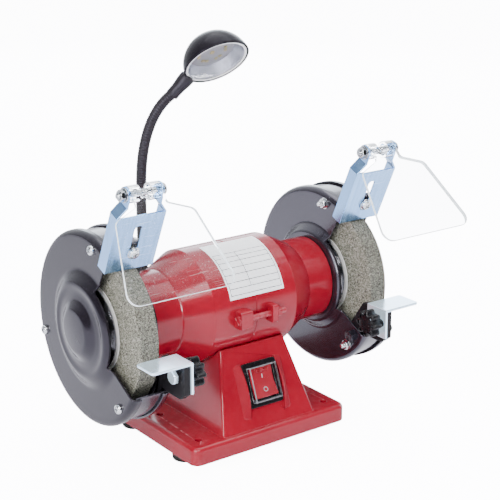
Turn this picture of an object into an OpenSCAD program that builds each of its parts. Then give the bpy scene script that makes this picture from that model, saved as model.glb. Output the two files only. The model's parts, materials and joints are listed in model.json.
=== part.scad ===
// Twin-wheel bench grinder with a gooseneck work lamp.
// The shaft runs along X, the user stands on the -Y side and Z points up from the bench.
// The origin is on the bench, under the middle of the whole machine.

/* [Base] */
// Width of the base plate
base_w = 147; // [143:1:165]
// Depth of the base plate
base_d = 141; // [137:1:155]
// Height of the base plate's edge
base_h = 14.4; // [13:0.2:18]
// How far the middle of the base lies behind the shaft
base_back = 4.2; // [3:0.2:6]
// Wall of the base casting
base_wall = 4; // [3:0.5:5]
// Radius of the base plate's corners
base_corner_r = 7; // [5:0.5:10]
// Radius of the rounded top edge of the base plate
base_edge_r = 4; // [1:0.5:4.5]
// Thickness of the sheet that closes the base from below
bottom_t = 1.5; // [1:0.1:2]
// Diameter of a rubber foot
foot_d = 22; // [18:1:24]
// Height of a rubber foot
foot_h = 8; // [7:0.5:12]
// Distance from a foot's middle to the side edge of the base
foot_in_x = 13.5; // [13:0.5:17]
// Distance from a foot's middle to the front or back edge of the base
foot_in_y = 33.5; // [31:0.5:38]
// Diameter of a bench hole
bench_hole_d = 5.5; // [4.5:0.1:6.5]
// Distance from a corner bench hole to the side edge
bench_in_x = 12.5; // [11:0.5:14]
// Distance from a corner bench hole to the front or back edge
bench_in_y = 14; // [12:0.5:16]
// Distance from a middle bench hole to the side edge
bench_mid_in_x = 14.5; // [12:0.5:16]

/* [Pedestal] */
// Width of the pedestal where it meets the base plate
ped_w_low = 88; // [80:1:96]
// Width of the pedestal at its top
ped_w_top = 61; // [56:1:70]
// Distance from the base's front edge to the pedestal
ped_front_in = 4.3; // [4:0.1:6.5]
// Depth of the ledge behind the pedestal
ped_ledge = 24.5; // [22:0.5:28]
// Distance from the shaft line to the pedestal's top edge, front and back
ped_top_y = 38.7; // [38:0.1:42]
// How far the pedestal's top edge lies below the shaft
ped_drop = 27.6; // [26:0.2:30]
// Radius of the pedestal's upright corners
ped_corner_r = 2.5; // [2:0.5:6]
// Thickness of the web under the motor
cradle_web = 7; // [5:0.5:9]

/* [Motor] */
// Height of the shaft above the bench
axis_h = 110; // [106:1:120]
// Diameter of the motor barrel
motor_d = 90; // [88:1:93]
// Length of the motor barrel
barrel_len = 77; // [72:1:80]
// Length of the cone at each end of the barrel
cone_len = 21.5; // [18:0.5:23]
// Diameter of the bearing necks
neck_d = 67; // [65:1:70]
// Length of the whole motor between the guards
motor_len = 170; // [166:1:176]
// Wall of the motor housing
motor_wall = 3; // [2.5:0.5:3.5]
// Thickness of the end walls
end_wall = 5; // [4:0.5:6]
// Width of a clamp lug
lug_w = 9; // [8:0.5:10]
// Height of a clamp lug
lug_h = 14; // [12:0.5:16]
// How far a clamp lug stands out of the barrel
lug_out = 8; // [7:0.5:9]
// Distance from the middle of the motor to a clamp lug's middle
lug_x = 14; // [12:0.5:16]
// How far the clamp lugs lie below the shaft
lug_drop = 2; // [0:0.5:4]
// Length of the stator core
core_len = 40; // [36:1:44]
// Radius of the rotor core
rotor_r = 25; // [23:0.5:26]
// Width of the label on the barrel
label_w = 51; // [40:1:56]
// Angle of the label's lower edge above the front
label_low = 17; // [14:1:24]
// Angle of the label's upper edge above the front
label_high = 88; // [70:1:95]

/* [Shaft] */
// Diameter of the shaft in the bearings
shaft_d = 15; // [14:0.5:16]
// Diameter of the shaft ends, equal to the wheel's bore
arbor_d = 12.7; // [12:0.1:13]
// Outer diameter of a bearing
bearing_d = 35; // [32:1:36]
// Width of a bearing
bearing_w = 11; // [9:0.5:12]

/* [Wheels] */
// Diameter of a grinding wheel
wheel_d = 125; // [122:1:130]
// Width of a grinding wheel
wheel_w = 16; // [13:1:18]
// Radius of a wheel flange
flange_r = 31; // [28:0.5:33]
// Thickness of a wheel flange
flange_t = 4.6; // [4:0.2:5]
// Radius of a paper blotter
blotter_r = 34; // [33.5:0.5:36]
// Thickness of a paper blotter
blotter_t = 0.6; // [0.4:0.1:0.8]
// Width across the flats of a wheel nut
nut_af = 19; // [17:1:20]
// Height of a wheel nut
nut_h = 8; // [6.5:0.5:8.5]

/* [Guards] */
// Outer radius of a guard's rims beyond the wheel
guard_gap = 12; // [11:0.5:14]
// Width of a guard, from its inner to its outer plate
guard_w = 34; // [32:0.5:36]
// Depth of the dish in the inner plate
dish = 6; // [5:0.5:7]
// Radius of the dish's floor
dish_r = 38; // [36:0.5:39]
// Thickness of the guard sheet
sheet = 1.6; // [1.2:0.2:2]
// Radius of the rounded rims
rim_r = 5; // [4:0.5:6]
// Length of a rim's lip
rim_lip = 3; // [2:0.5:4]
// Angle of the opening's lower edge, from the front
open_low = -29; // [-32:1:-27]
// Angle of the opening's upper edge, from the front
open_high = 61; // [58:1:64]
// Inner radius of the opening
open_r = 39.5; // [39.5:0.5:42]
// Height of the cover's raised boss
boss_h = 5.4; // [4.5:0.2:6]
// Radius of the cover's raised boss
boss_r = 36; // [35:0.5:38]
// Height of the dome on the boss
dome_h = 5.1; // [4.8:0.1:6]
// Radius of the dome on the boss
dome_r = 24.5; // [22:0.5:26]
// Diameter of a cover screw
cover_screw_d = 4; // [3.5:0.5:4.5]
// Angle of the first cover screw
cover_screw_a = 78; // [74:1:82]

/* [Tool rests] */
// Gap between a tool rest and the wheel
rest_gap = 7; // [6:0.5:9]
// Depth of a tool rest, front to back
rest_d = 22.2; // [21:0.2:25]
// Length of a tool rest
rest_len = 34.2; // [31:0.2:38]
// Height of a tool rest's leg
rest_leg = 24; // [22:0.5:26]
// Thickness of the tool rest sheet
rest_t = 2; // [1.6:0.2:2.4]
// How far the tool rest lies below the shaft
rest_drop = 5; // [3:0.5:7]
// Thickness of a support arm
arm_t = 5; // [4:0.5:6]
// Diameter of a clamp bolt
rest_bolt_d = 6; // [5:0.5:6.5]
// Diameter of a star knob
knob_d = 23; // [20:1:26]
// Height of a star knob
knob_h = 12; // [10:0.5:14]

/* [Deflectors] */
// Gap between a deflector's lower edge and the wheel
plate_gap = 2; // [1.8:0.1:3]
// Angle of the deflector's lower edge above the front
plate_a = 55.5; // [54:0.5:57]
// How far the deflector leans forward
lean = 24.4; // [22:0.2:27]
// Width of a deflector
plate_w = 41; // [40:0.5:44]
// Length of a deflector's plate
plate_len = 49; // [46:0.5:52]
// Thickness of the deflector sheet
plate_t = 1.5; // [1.2:0.1:2]
// Depth of the side flanges
flange_d = 10; // [9:0.5:12]
// Height of the hinge above the deflector's plate
hinge_rise = 15.5; // [15:0.5:18]
// How far the hinge lies behind the deflector's front
hinge_back = 6.2; // [6:0.1:7]
// Width between the outsides of the hinge ears
ear_w = 29; // [27:0.5:32]
// Height of the joggle below the ears
joggle_h = 8; // [6:0.5:8]
// Diameter of the hinge bolt
hinge_d = 5; // [4:0.5:5.5]
// Start of the slot above the plate's lower edge
slot_low = 9.7; // [9:0.1:11]
// Length of the slot
slot_len = 29.6; // [26:0.2:31]
// Width of the slot
slot_w = 6; // [5.6:0.1:6.4]

/* [Eye shields] */
// Length of a shield from the hinge to its lower edge
shield_len = 80; // [74:1:88]
// Width of a shield at its lower edge
shield_w_low = 90; // [84:1:96]
// Width of a shield at its shoulders
shield_w_top = 64; // [58:1:70]
// Distance from the hinge to the shoulders
shield_shoulder = 20; // [19:0.5:23]
// Thickness of a shield
shield_t = 2; // [1.6:0.1:2.2]
// How far the left shield droops below level
left_droop = 53; // [44:1:54]
// How far the right shield droops below level
right_droop = 45; // [40:1:52]

/* [Switch] */
// Width of the switch bezel
bezel_w = 32; // [30:0.5:34]
// Height of the switch bezel
bezel_h = 35; // [34:0.5:38]
// Height of the switch's middle above the base plate
switch_up = 30.6; // [28:0.2:33]
// Angle that the rocker leans at rest
rocker_tilt = 7; // [5:0.5:8]
// Thickness of a guard cheek's crest beside the switch
cheek_w = 1; // [0.8:0.1:1.6]
// How far a guard cheek stands out
cheek_out = 5.5; // [4.5:0.5:7]
// How far a guard cheek's outer side slopes away
cheek_ramp = 6; // [4:0.5:8]

/* [Lamp] */
// Distance from the base's left edge to the middle of the lamp's foot
lamp_in = 38.3; // [36:0.1:41]
// Outer diameter of the gooseneck
goose_d = 8.6; // [8:0.1:9.2]
// Bore of the gooseneck
goose_bore = 4; // [3.4:0.1:4.4]
// Depth of the grooves between the gooseneck's ribs
goose_groove = 0.6; // [0.3:0.1:0.8]
// Distance from one rib to the next
goose_pitch = 3; // [2.6:0.1:3.4]
// Height of the gooseneck's first bend above its foot
goose_low = 100; // [90:1:120]
// Length of the straight stretch above that bend
goose_mid = 68; // [60:1:80]
// Diameter of the lamp's rim
shade_d = 53.5; // [51:0.5:56]
// Depth of the lamp's shade
shade_depth = 25; // [23:0.5:27]
// Wall of the lamp's shade
shade_wall = 1.4; // [1.2:0.1:1.8]
// Tilt of the lamp's axis from upright
head_tilt = 43.5; // [41:0.5:47]
// Turn of the lamp's axis about upright
head_turn = 87; // [84:1:90]

/* [Hidden] */
$fn = 72;

// Clearances: a seat in one assembly, a turning fit, a sliding face and a thread
seat_gap = 0.1;
run_gap = 0.08;
slide_gap = 0.25;
thread_gap = 0.05;
// Reach of a cutter past the face it cuts
past = 1;

// Colours
red = [0.72, 0.13, 0.17];
black = [0.09, 0.09, 0.1];
zinc = [0.78, 0.83, 0.88];
chrome = [0.86, 0.87, 0.89];
stone = [0.52, 0.51, 0.46];
rubber = [0.06, 0.06, 0.06];
copper = [0.72, 0.4, 0.2];
paper = [0.93, 0.93, 0.91];
clear = [0.85, 0.92, 0.96, 0.35];

// Base
base_top = foot_h + base_h;
pocket_w = base_w - 2 * (base_wall + 1);
pocket_d = base_d - 2 * (base_wall + 1);
pocket_top = base_top - base_wall;
foot_x = base_w / 2 - foot_in_x;
foot_y = base_d / 2 - foot_in_y;
bench_x = base_w / 2 - bench_in_x;
bench_y = base_d / 2 - bench_in_y;
bench_mid_x = base_w / 2 - bench_mid_in_x;
bench_boss_r = bench_hole_d / 2 + 3;
foot_boss_r = 7;
foot_screw_r = 2;
foot_recess_r = 4.2;
foot_recess = foot_h / 2;

// Pedestal, seen from the shaft line
motor_r = motor_d / 2;
cradle_gap = 0.5;
ped_top_z = axis_h - ped_drop;
ped_front_low = base_d / 2 - base_back - ped_front_in;
ped_rear_low = base_d / 2 + base_back - ped_ledge;
cavity_top = axis_h - motor_r - cradle_gap - cradle_web;
cradle_bolt_r = 2.5;
cradle_boss_r = 5.5;
cradle_bolt_x = core_len / 2 + cradle_boss_r + seat_gap;
cradle_boss_h = 5;
capacitor_r = 13;
capacitor_len = 44;
capacitor_y = 14;
gland_x = 20;
gland_z = base_top + 22;
gland_r = 6;

// Motor
barrel_x = barrel_len / 2;
cone_x = barrel_x + cone_len;
motor_x = motor_len / 2;
neck_r = neck_d / 2;
shaft_r = shaft_d / 2;
seat_r = bearing_d / 2;
seat_wall = 3;
seat_x = motor_x - end_wall - bearing_w;
shaft_hole_r = shaft_r + 1.5;
core_r = motor_r - motor_wall - seat_gap;
air_gap = 0.4;
slots = 12;
slot_in = rotor_r + 3;
slot_out = core_r - 5;
slot_half = 2.2;
coil_len = 11;
lug_bolt_r = 2.5;
lug_bolt_y = motor_r + lug_out / 2;
guard_screw_r = 2;
guard_screw_pcd_r = (seat_r + seat_wall + neck_r - motor_wall) / 2;
fan_x = core_len / 2 + coil_len + 4;

// Guards and wheels, measured along the shaft from the middle of the machine
wheel_r = wheel_d / 2;
arbor_r = arbor_d / 2;
guard_x = motor_x + dish;
guard_end = guard_x + guard_w;
guard_r = wheel_r + guard_gap;
lip_r = guard_r - sheet;
band_r = lip_r - 0.3;
wheel_x = guard_x + guard_w / 2;
wheel_in = wheel_x - wheel_w / 2;
wheel_out = wheel_x + wheel_w / 2;
shoulder_x = wheel_in - blotter_t - flange_t;
nut_x = wheel_out + blotter_t + flange_t;
shaft_end = nut_x + nut_h + 1.2;
cover_screw_at = band_r - sheet - cover_screw_d / 2 - 3;
knob_lobes = 8;
cover_screw_past = 7;
cover_screw_angles = [cover_screw_a, cover_screw_a - 124, cover_screw_a - 241];
boss_foot_r = boss_r + 12;

// Tool rests
arm_x = guard_x + sheet;
leg_x = arm_x - slide_gap - rest_t;
rest_back = wheel_r + rest_gap;
rest_bolt_y = rest_back + rest_d / 2;
rest_bolt_z = rest_drop + rest_leg / 2;
rest_bolt_r = rest_bolt_d / 2;
rest_slot_half = rest_bolt_r + 0.2;
rest_travel = rest_d / 2 - rest_slot_half - 2.5;
support_bolt_r = 2.5;
support_bolt_at = [band_r - sheet - 7.5, open_low - 8.3];

// Deflectors and shields: points are [y, z] about the shaft
plate_up = [-sin(lean), cos(lean)];
plate_front = [-cos(lean), -sin(lean)];
plate_at = polar(wheel_r + plate_gap, plate_a);
hinge_up = plate_len + hinge_rise;
hinge_at = plate_at + hinge_up * plate_up - hinge_back * plate_front;
hinge_r = hinge_d / 2;
ear_r = 6;
ear_in = ear_w / 2 - plate_t;
barrel_r = hinge_back;
tongue_w = 2 * ear_in - 1;
tongue_len = 12;
slot_screw_up = slot_low + slot_w / 2 + 3.3;
slot_screw_r = slot_w / 2 - 0.5;
tab_w = 15;
tab_t = 2.5;
tab_low = 8;
tab_high = slot_screw_up + 8;

// Switch, on the pedestal's sloping front
slope = atan((ped_front_low - ped_top_y) / (ped_top_z - base_top));
switch_z = base_top + switch_up;
body_w = bezel_w - 6;
body_h = bezel_h - 5;
body_deep = 22;
bezel_t = 2.2;
rocker_w = body_w - 5.6;
rocker_half = 11.7;
rocker_top = 6.6;
pivot_deep = 2;
axle_r = 1.5;
pocket_half_h = rocker_half + 1.1;
cover_w = 25;
cover_h = 27.6;
cover_out = 7.4;
cheek_high = 0.6;
cheek_low = 7;
cover_wall = 0.8;

// Lamp: points are measured from the middle of its foot on the base
lamp_left = base_w / 2 - lamp_in;
lamp_y = base_back + base_d / 2 - ped_ledge / 2;
goose_r = goose_d / 2;
bore_r = goose_bore / 2;
collar_r = goose_r + 2.4;
collar_h = 16;
foot_t = 4;
foot_half = 12.5;
foot_pad_r = 7;
bend_1 = [0, 0, goose_low];
bend_2 = [0, 0, goose_low + goose_mid];
head_at = bend_2 + [46.7, -39.45, 101];
neck_end = bend_2 + [20.6, -17.3, 76.8];
ferrule_dir = unit(head_at - neck_end);
route = [bend_2, bend_2 + [0, 0, 46.6], neck_end - 15.6 * ferrule_dir, neck_end];
neck_side = unit([-ferrule_dir[1], ferrule_dir[0], 0]);
goose_sides = 8;
cup_r = goose_r / cos(180 / goose_sides) + 0.25;
cup_low = acos((goose_r - 0.15) / cup_r);
cup_high = acos(bore_r / cup_r);
ball_high = acos((bore_r + 0.3) / goose_r);
ferrule_len = 22;
ferrule_waist = 7;
ferrule_flare = 14;
shade_r = shade_d / 2;
dome_ball_r = (shade_r * shade_r + shade_depth * shade_depth) / (2 * shade_depth);
lens_z = 1.2;
lens_t = 1.2;
board_z = 9;
board_r = 18;

// The machine's middle, front to back, is put over the origin
shield_low = min(left_droop, right_droop);
front_reach = -hinge_at[0] + shield_len * cos(shield_low) + barrel_r * sin(shield_low);
rear_reach = max(base_back + base_d / 2, guard_r);
shaft_y = (front_reach - rear_reach) / 2;

// Point at a radius and at an angle above the front, about the shaft
function polar(r, a) = [-r * cos(a), r * sin(a)];
function unit(v) = v / norm(v);
function reversed(points) = [for (i = [len(points) - 1:-1:0]) points[i]];
function arc(middle, r, from, to, n = 6) =
    [for (i = [0:n]) let (a = from + (to - from) * i / n) middle + r * [cos(a), sin(a)]];

// Arc that rounds corner b of the outline a, b, c
function corner(a, b, c, r, n = 6) =
    let (
        u = unit(a - b),
        w = unit(c - b),
        half = acos(u * w) / 2,
        middle = b + unit(u + w) * r / sin(half),
        from = b + u * r / tan(half) - middle,
        to = b + w * r / tan(half) - middle,
        turn = atan2(from[0] * to[1] - from[1] * to[0], from * to)
    )
    [for (i = [0:n]) let (t = turn * i / n)
        middle + [from[0] * cos(t) - from[1] * sin(t), from[0] * sin(t) + from[1] * cos(t)]];

// Outline whose corners are rounded, each with its own radius
function rounded(points, radii) =
    let (n = len(points))
    [for (i = [0:n - 1]) each radii[i] > 0
        ? corner(points[(i + n - 1) % n], points[i], points[(i + 1) % n], radii[i])
        : [points[i]]];

// Pedestal's half width and its front and rear faces at a height
function ped_share(z) = (z - base_top) / (ped_top_z - base_top);
function ped_half(z) = (ped_w_low + (ped_w_top - ped_w_low) * ped_share(z)) / 2;
function ped_front(z) = ped_front_low + (ped_top_y - ped_front_low) * ped_share(z);
function ped_rear(z) = ped_rear_low + (ped_top_y - ped_rear_low) * ped_share(z);

// Placing
module placed() translate([0, shaft_y, 0]) children();
module on_shaft() translate([0, shaft_y, axis_h]) children();
module both() for (s = [1, -1]) mirror([s < 0 ? 1 : 0, 0, 0]) children();
module turned(x = 0) translate([x, 0, 0]) rotate([0, 90, 0]) children();
module along_x(x, length) translate([x, 0, 0]) rotate([90, 0, 90]) linear_extrude(length) children();
module at_polar(x, r, a) translate([x, -r * cos(a), r * sin(a)]) rotate([0, 90, 0]) children();
module sector(a1, a2) rotate([0, 90, 0]) rotate([0, 0, -90 - a2]) rotate_extrude(angle = a2 - a1) children();
module four(x, y) for (sx = [-1, 1], sy = [-1, 1]) translate([sx * x, sy * y, 0]) children();
module on_base() translate([0, shaft_y + base_back, 0]) children();
module on_lamp() translate([-lamp_left, shaft_y + lamp_y, base_top]) children();
module on_plate(s) on_shaft() translate([s * wheel_x, plate_at[0], plate_at[1]])
    rotate([90 + lean, 0, 0]) children();
module on_hinge(s) on_shaft() translate([s * wheel_x, hinge_at[0], hinge_at[1]]) children();
module on_switch()
    placed() translate([0, -ped_front(switch_z), switch_z]) rotate([90 - slope, 0, 0]) children();
module on_head() on_lamp() translate(head_at) rotate([0, head_tilt, head_turn]) children();

// Fasteners along +Z, with the underside of the head at zero
module hex(af, h) cylinder(d = af / cos(30), h = h, $fn = 6);
module hex_bolt(r, length, af, head) {
    translate([0, 0, -head]) hex(af, head);
    cylinder(r = r, h = length);
}
module pan_screw(r, length, head_r, head) {
    translate([0, 0, -head]) cylinder(r1 = head_r * 0.75, r2 = head_r, h = head);
    cylinder(r = r, h = length);
}
module hex_nut(r, af, h) difference() {
    hex(af, h);
    translate([0, 0, -past]) cylinder(r = r + thread_gap, h = h + 2 * past);
}
module tube(r, bore, h) difference() {
    cylinder(r = r, h = h);
    translate([0, 0, -past]) cylinder(r = bore, h = h + 2 * past);
}

// Base casting: a shallow open box with the hollow pedestal on it
module edge_post(r, h, e) rotate_extrude($fn = 32)
    polygon(concat([[0, 0], [r, 0]], arc([r - e, h - e], e, 0, 90, 4), [[0, h]]));
module base_slab() translate([0, base_back, foot_h]) hull()
    four(base_w / 2 - base_corner_r, base_d / 2 - base_corner_r)
        edge_post(base_corner_r, base_h, base_edge_r);
module ped_ring(z, inset, r) for (sx = [-1, 1]) {
    translate([sx * (ped_half(z) - inset - r), -ped_front(z) + inset + r, z])
        cylinder(r = r, h = 0.01, $fn = 32);
    translate([sx * (ped_half(z) - inset - r), ped_rear(z) - inset - r, z])
        cylinder(r = r, h = 0.01, $fn = 32);
}
module ped_block(low, high, inset, r) hull() {
    ped_ring(low, inset, r);
    ped_ring(high, inset, r);
}
module base_pocket() translate([-pocket_w / 2, base_back - pocket_d / 2, foot_h - past])
    cube([pocket_w, pocket_d, pocket_top - foot_h + past]);
module base_bosses() translate([0, base_back, 0]) {
    four(foot_x, foot_y) translate([0, 0, foot_h + bottom_t])
        cylinder(r = foot_boss_r, h = pocket_top - foot_h - bottom_t + past);
    four(bench_x, bench_y) translate([0, 0, foot_h]) cylinder(r = bench_boss_r, h = base_h - past);
    for (s = [-1, 1]) translate([s * bench_mid_x, 0, foot_h]) cylinder(r = bench_boss_r, h = base_h - past);
}
module base_holes() translate([0, base_back, 0]) {
    four(foot_x, foot_y) translate([0, 0, foot_h])
        cylinder(r = foot_screw_r + thread_gap, h = base_h - base_wall + past);
    four(bench_x, bench_y) translate([0, 0, foot_h - past]) cylinder(d = bench_hole_d, h = base_h + 2 * past);
    for (s = [-1, 1]) translate([s * bench_mid_x, 0, foot_h - past])
        cylinder(d = bench_hole_d, h = base_h + 2 * past);
}
module cheek_outline() polygon(concat(
    [[bezel_h / 2 + cheek_high, -past]],
    [for (i = [0:12])
        let (t = 1 - i / 12, y = -bezel_h / 2 - cheek_low + (bezel_h + cheek_high + cheek_low) * t)
        [y, cheek_out * pow(sin(180 * (0.03 + 0.94 * t)), 0.8)]],
    [[-bezel_h / 2 - cheek_low, -past]]));
module switch_cheeks() both() translate([bezel_w / 2 + slide_gap, 0, 0]) hull() {
    rotate([90, 0, 90]) linear_extrude(cheek_w) cheek_outline();
    translate([cheek_w, 1 - bezel_h / 2 - cheek_low, -past])
        cube([cheek_ramp, bezel_h + cheek_high + cheek_low - 2, past / 2]);
}
module rear_frame() translate([gland_x, ped_rear(gland_z), gland_z])
    rotate([atan((ped_rear_low - ped_top_y) / (ped_top_z - base_top)) - 90, 0, 0]) children();
module lamp_screw_holes() translate([-lamp_left, lamp_y, 0]) for (s = [-1, 1])
    translate([s * foot_half, 0, base_top - base_wall - past])
        cylinder(r = foot_screw_r + thread_gap, h = base_wall + 2 * past);
module base_casting() color(red) difference() {
    union() {
        placed() difference() {
            union() {
                base_slab();
                ped_block(base_top - past, ped_top_z, 0, ped_corner_r);
            }
            base_pocket();
            ped_block(pocket_top - past, cavity_top, base_wall, ped_corner_r / 2);
        }
        placed() base_bosses();
        on_switch() switch_cheeks();
    }
    on_shaft() turned(-base_w) cylinder(r = motor_r + cradle_gap, h = 2 * base_w);
    placed() base_holes();
    placed() lamp_screw_holes();
    on_switch() translate([-body_w / 2 - seat_gap, -body_h / 2 - seat_gap, -body_deep])
        cube([body_w + 2 * seat_gap, body_h + 2 * seat_gap, body_deep + past]);
    placed() for (s = [-1, 1]) translate([s * cradle_bolt_x, 0, cavity_top - past])
        cylinder(r = cradle_bolt_r + seat_gap, h = cradle_web + 3 * past);
    placed() rear_frame() translate([0, 0, -3 * base_wall])
        cylinder(r = gland_r + seat_gap, h = 6 * base_wall);
}
module bottom_plate() color(zinc) on_base() difference() {
    translate([-pocket_w / 2 + seat_gap, -pocket_d / 2 + seat_gap, foot_h])
        cube([pocket_w - 2 * seat_gap, pocket_d - 2 * seat_gap, bottom_t]);
    four(foot_x, foot_y) translate([0, 0, foot_h - past])
        cylinder(r = foot_screw_r + seat_gap, h = bottom_t + 2 * past);
    four(bench_x, bench_y) translate([0, 0, foot_h - past])
        cylinder(r = bench_boss_r + seat_gap, h = bottom_t + 2 * past);
    for (s = [-1, 1]) translate([s * bench_mid_x, 0, foot_h - past])
        cylinder(r = bench_boss_r + seat_gap, h = bottom_t + 2 * past);
}
module rubber_feet() color(rubber) on_base() four(foot_x, foot_y) difference() {
    cylinder(d1 = foot_d - 2, d2 = foot_d, h = foot_h);
    translate([0, 0, -past]) cylinder(r = foot_recess_r, h = foot_recess + past);
    cylinder(r = foot_screw_r + seat_gap, h = foot_h + past);
}
module foot_screws() color(zinc) on_base() four(foot_x, foot_y)
    translate([0, 0, foot_recess])
        pan_screw(foot_screw_r, pocket_top - foot_recess - 0.5, foot_recess_r - 0.6, 2.4);

// Motor housing: two halves that meet at the middle
module housing_profile() polygon([
    [motor_r, 0], [motor_r, barrel_x - 0.8], [motor_r - 0.8, barrel_x],
    [neck_r + 0.6, cone_x], [neck_r, cone_x + 0.8],
    [neck_r, motor_x - 1], [neck_r - 1, motor_x],
    [shaft_hole_r, motor_x], [shaft_hole_r, motor_x - end_wall],
    [seat_r, motor_x - end_wall], [seat_r, seat_x - 2],
    [seat_r + seat_wall, seat_x - 2], [seat_r + seat_wall, motor_x - end_wall],
    [neck_r - motor_wall, motor_x - end_wall], [neck_r - motor_wall, cone_x - 1],
    [motor_r - motor_wall, barrel_x - 1], [motor_r - motor_wall, 0]]);
module lug_outline(s) polygon(rounded(
    [[s * (motor_r - 2.4), -lug_h / 2], [s * (motor_r + lug_out), -lug_h / 2],
     [s * (motor_r + lug_out), lug_h / 2], [s * (motor_r - 2.4), lug_h / 2]], [0, 2, 2, 0]));
module housing_half() difference() {
    union() {
        turned() rotate_extrude($fn = 96) housing_profile();
        for (s = [-1, 1]) translate([0, 0, -lug_drop]) along_x(lug_x - lug_w / 2, lug_w) lug_outline(s);
        translate([cradle_bolt_x, 0, -motor_r + 0.8]) cylinder(r = cradle_boss_r, h = cradle_boss_h);
    }
    for (s = [-1, 1]) translate([0, s * lug_bolt_y, -lug_drop])
        turned(lug_x - lug_w) cylinder(r = lug_bolt_r + seat_gap, h = 2 * lug_w);
    translate([cradle_bolt_x, 0, -motor_r - past])
        cylinder(r = cradle_bolt_r + thread_gap, h = cradle_boss_h + 2 + past);
    for (a = [90, 210, 330]) at_polar(motor_x - end_wall - past, guard_screw_pcd_r, a)
        cylinder(r = guard_screw_r + thread_gap, h = end_wall + 2 * past);
}
module motor_housing_right() color(red) on_shaft() housing_half();
module motor_housing_left() color(red) on_shaft() mirror([1, 0, 0]) housing_half();
module housing_bolts() color(red) on_shaft() for (s = [-1, 1]) translate([0, s * lug_bolt_y, -lug_drop]) {
    turned(-lug_x - lug_w / 2) hex_bolt(lug_bolt_r, 2 * lug_x + lug_w + 6, 8, 3.5);
    turned(lug_x + lug_w / 2) hex_nut(lug_bolt_r, 8, 4);
}
module cradle_bolts() color(zinc) placed() for (s = [-1, 1]) translate([s * cradle_bolt_x, 0, cavity_top])
    hex_bolt(cradle_bolt_r, cradle_web + cradle_gap + cradle_boss_h + 1, 8, 3.5);

// Motor insides
module slot_bars(half, grow, length) for (i = [0:slots - 1]) rotate([i * 360 / slots, 0, 0])
    translate([-length / 2, -half, slot_in - grow]) cube([length, 2 * half, slot_out - slot_in + 2 * grow]);
module stator_core() color([0.35, 0.36, 0.38]) on_shaft() difference() {
    turned(-core_len / 2) tube(core_r, rotor_r + air_gap, core_len);
    slot_bars(slot_half, seat_gap, core_len + 2 * past);
}
module coil_end() rotate_extrude($fn = 48) polygon(rounded(
    [[slot_in, 0], [slot_out, 0], [slot_out, coil_len], [slot_in, coil_len]], [0, 0, 3, 3]));
module stator_windings() color(copper) on_shaft() {
    both() turned(core_len / 2 + seat_gap) coil_end();
    slot_bars(slot_half - seat_gap, 0, core_len + 4);
}
module bearings() color(chrome) on_shaft() both() turned(seat_x)
    tube(seat_r - seat_gap, shaft_r + run_gap, bearing_w);
module run_capacitor() color([0.8, 0.8, 0.78]) placed()
    translate([0, capacitor_y, foot_h + bottom_t + capacitor_r + seat_gap])
        turned(-capacitor_len / 2) cylinder(r = capacitor_r, h = capacitor_len);
module rating_label() color(paper) on_shaft() translate([1.5, 0, 0]) sector(label_low, label_high)
    translate([motor_r + thread_gap, -label_w / 2]) square([0.3, label_w]);

// Rotor
module shaft() color(chrome) on_shaft() {
    turned(-shoulder_x) cylinder(r = shaft_r, h = 2 * shoulder_x);
    turned(-shaft_end) cylinder(r = arbor_r, h = 2 * shaft_end);
}
module rotor_core() color([0.5, 0.5, 0.52]) on_shaft()
    turned(-core_len / 2) tube(rotor_r, shaft_r + thread_gap, core_len);
module cooling_fan() color(black) on_shaft() difference() {
    union() {
        turned(fan_x) cylinder(r = shaft_r + 3, h = 10);
        turned(fan_x) cylinder(r = rotor_r + 4, h = 1.5);
        for (i = [0:7]) rotate([i * 45, 0, 0]) translate([fan_x, -1, shaft_r + 2])
            cube([10, 2, rotor_r + 1 - shaft_r]);
    }
    turned(fan_x - past) cylinder(r = shaft_r + thread_gap, h = 12);
}
module flange_profile() polygon([
    [arbor_r + thread_gap, 0], [flange_r, 0], [flange_r, 1.6], [flange_r - 1, 2.6], [flange_r - 2.6, 2.6],
    [flange_r - 4, 1.9], [arbor_r + 10, 2.4], [arbor_r + 6, flange_t], [arbor_r + thread_gap, flange_t]]);
module inner_flanges() color(chrome) on_shaft() both()
    turned(wheel_in - blotter_t) mirror([0, 0, 1]) rotate_extrude() flange_profile();
module outer_flanges() color(chrome) on_shaft() both()
    turned(wheel_out + blotter_t) rotate_extrude() flange_profile();
module wheel() turned(wheel_in) rotate_extrude($fn = 96) polygon([
    [arbor_r + thread_gap, 0], [wheel_r - 0.8, 0], [wheel_r, 0.8], [wheel_r, wheel_w - 0.8],
    [wheel_r - 0.8, wheel_w], [arbor_r + thread_gap, wheel_w]]);
module right_wheel() color(stone) on_shaft() wheel();
module left_wheel() color(stone) on_shaft() mirror([1, 0, 0]) wheel();
module wheel_blotters() color(paper) on_shaft() both() {
    turned(wheel_in - blotter_t) tube(blotter_r, arbor_r + thread_gap, blotter_t);
    turned(wheel_out) tube(blotter_r, arbor_r + thread_gap, blotter_t);
}
module wheel_nuts() color(zinc) on_shaft() both() turned(nut_x) hex_nut(arbor_r, nut_af, nut_h);

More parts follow.
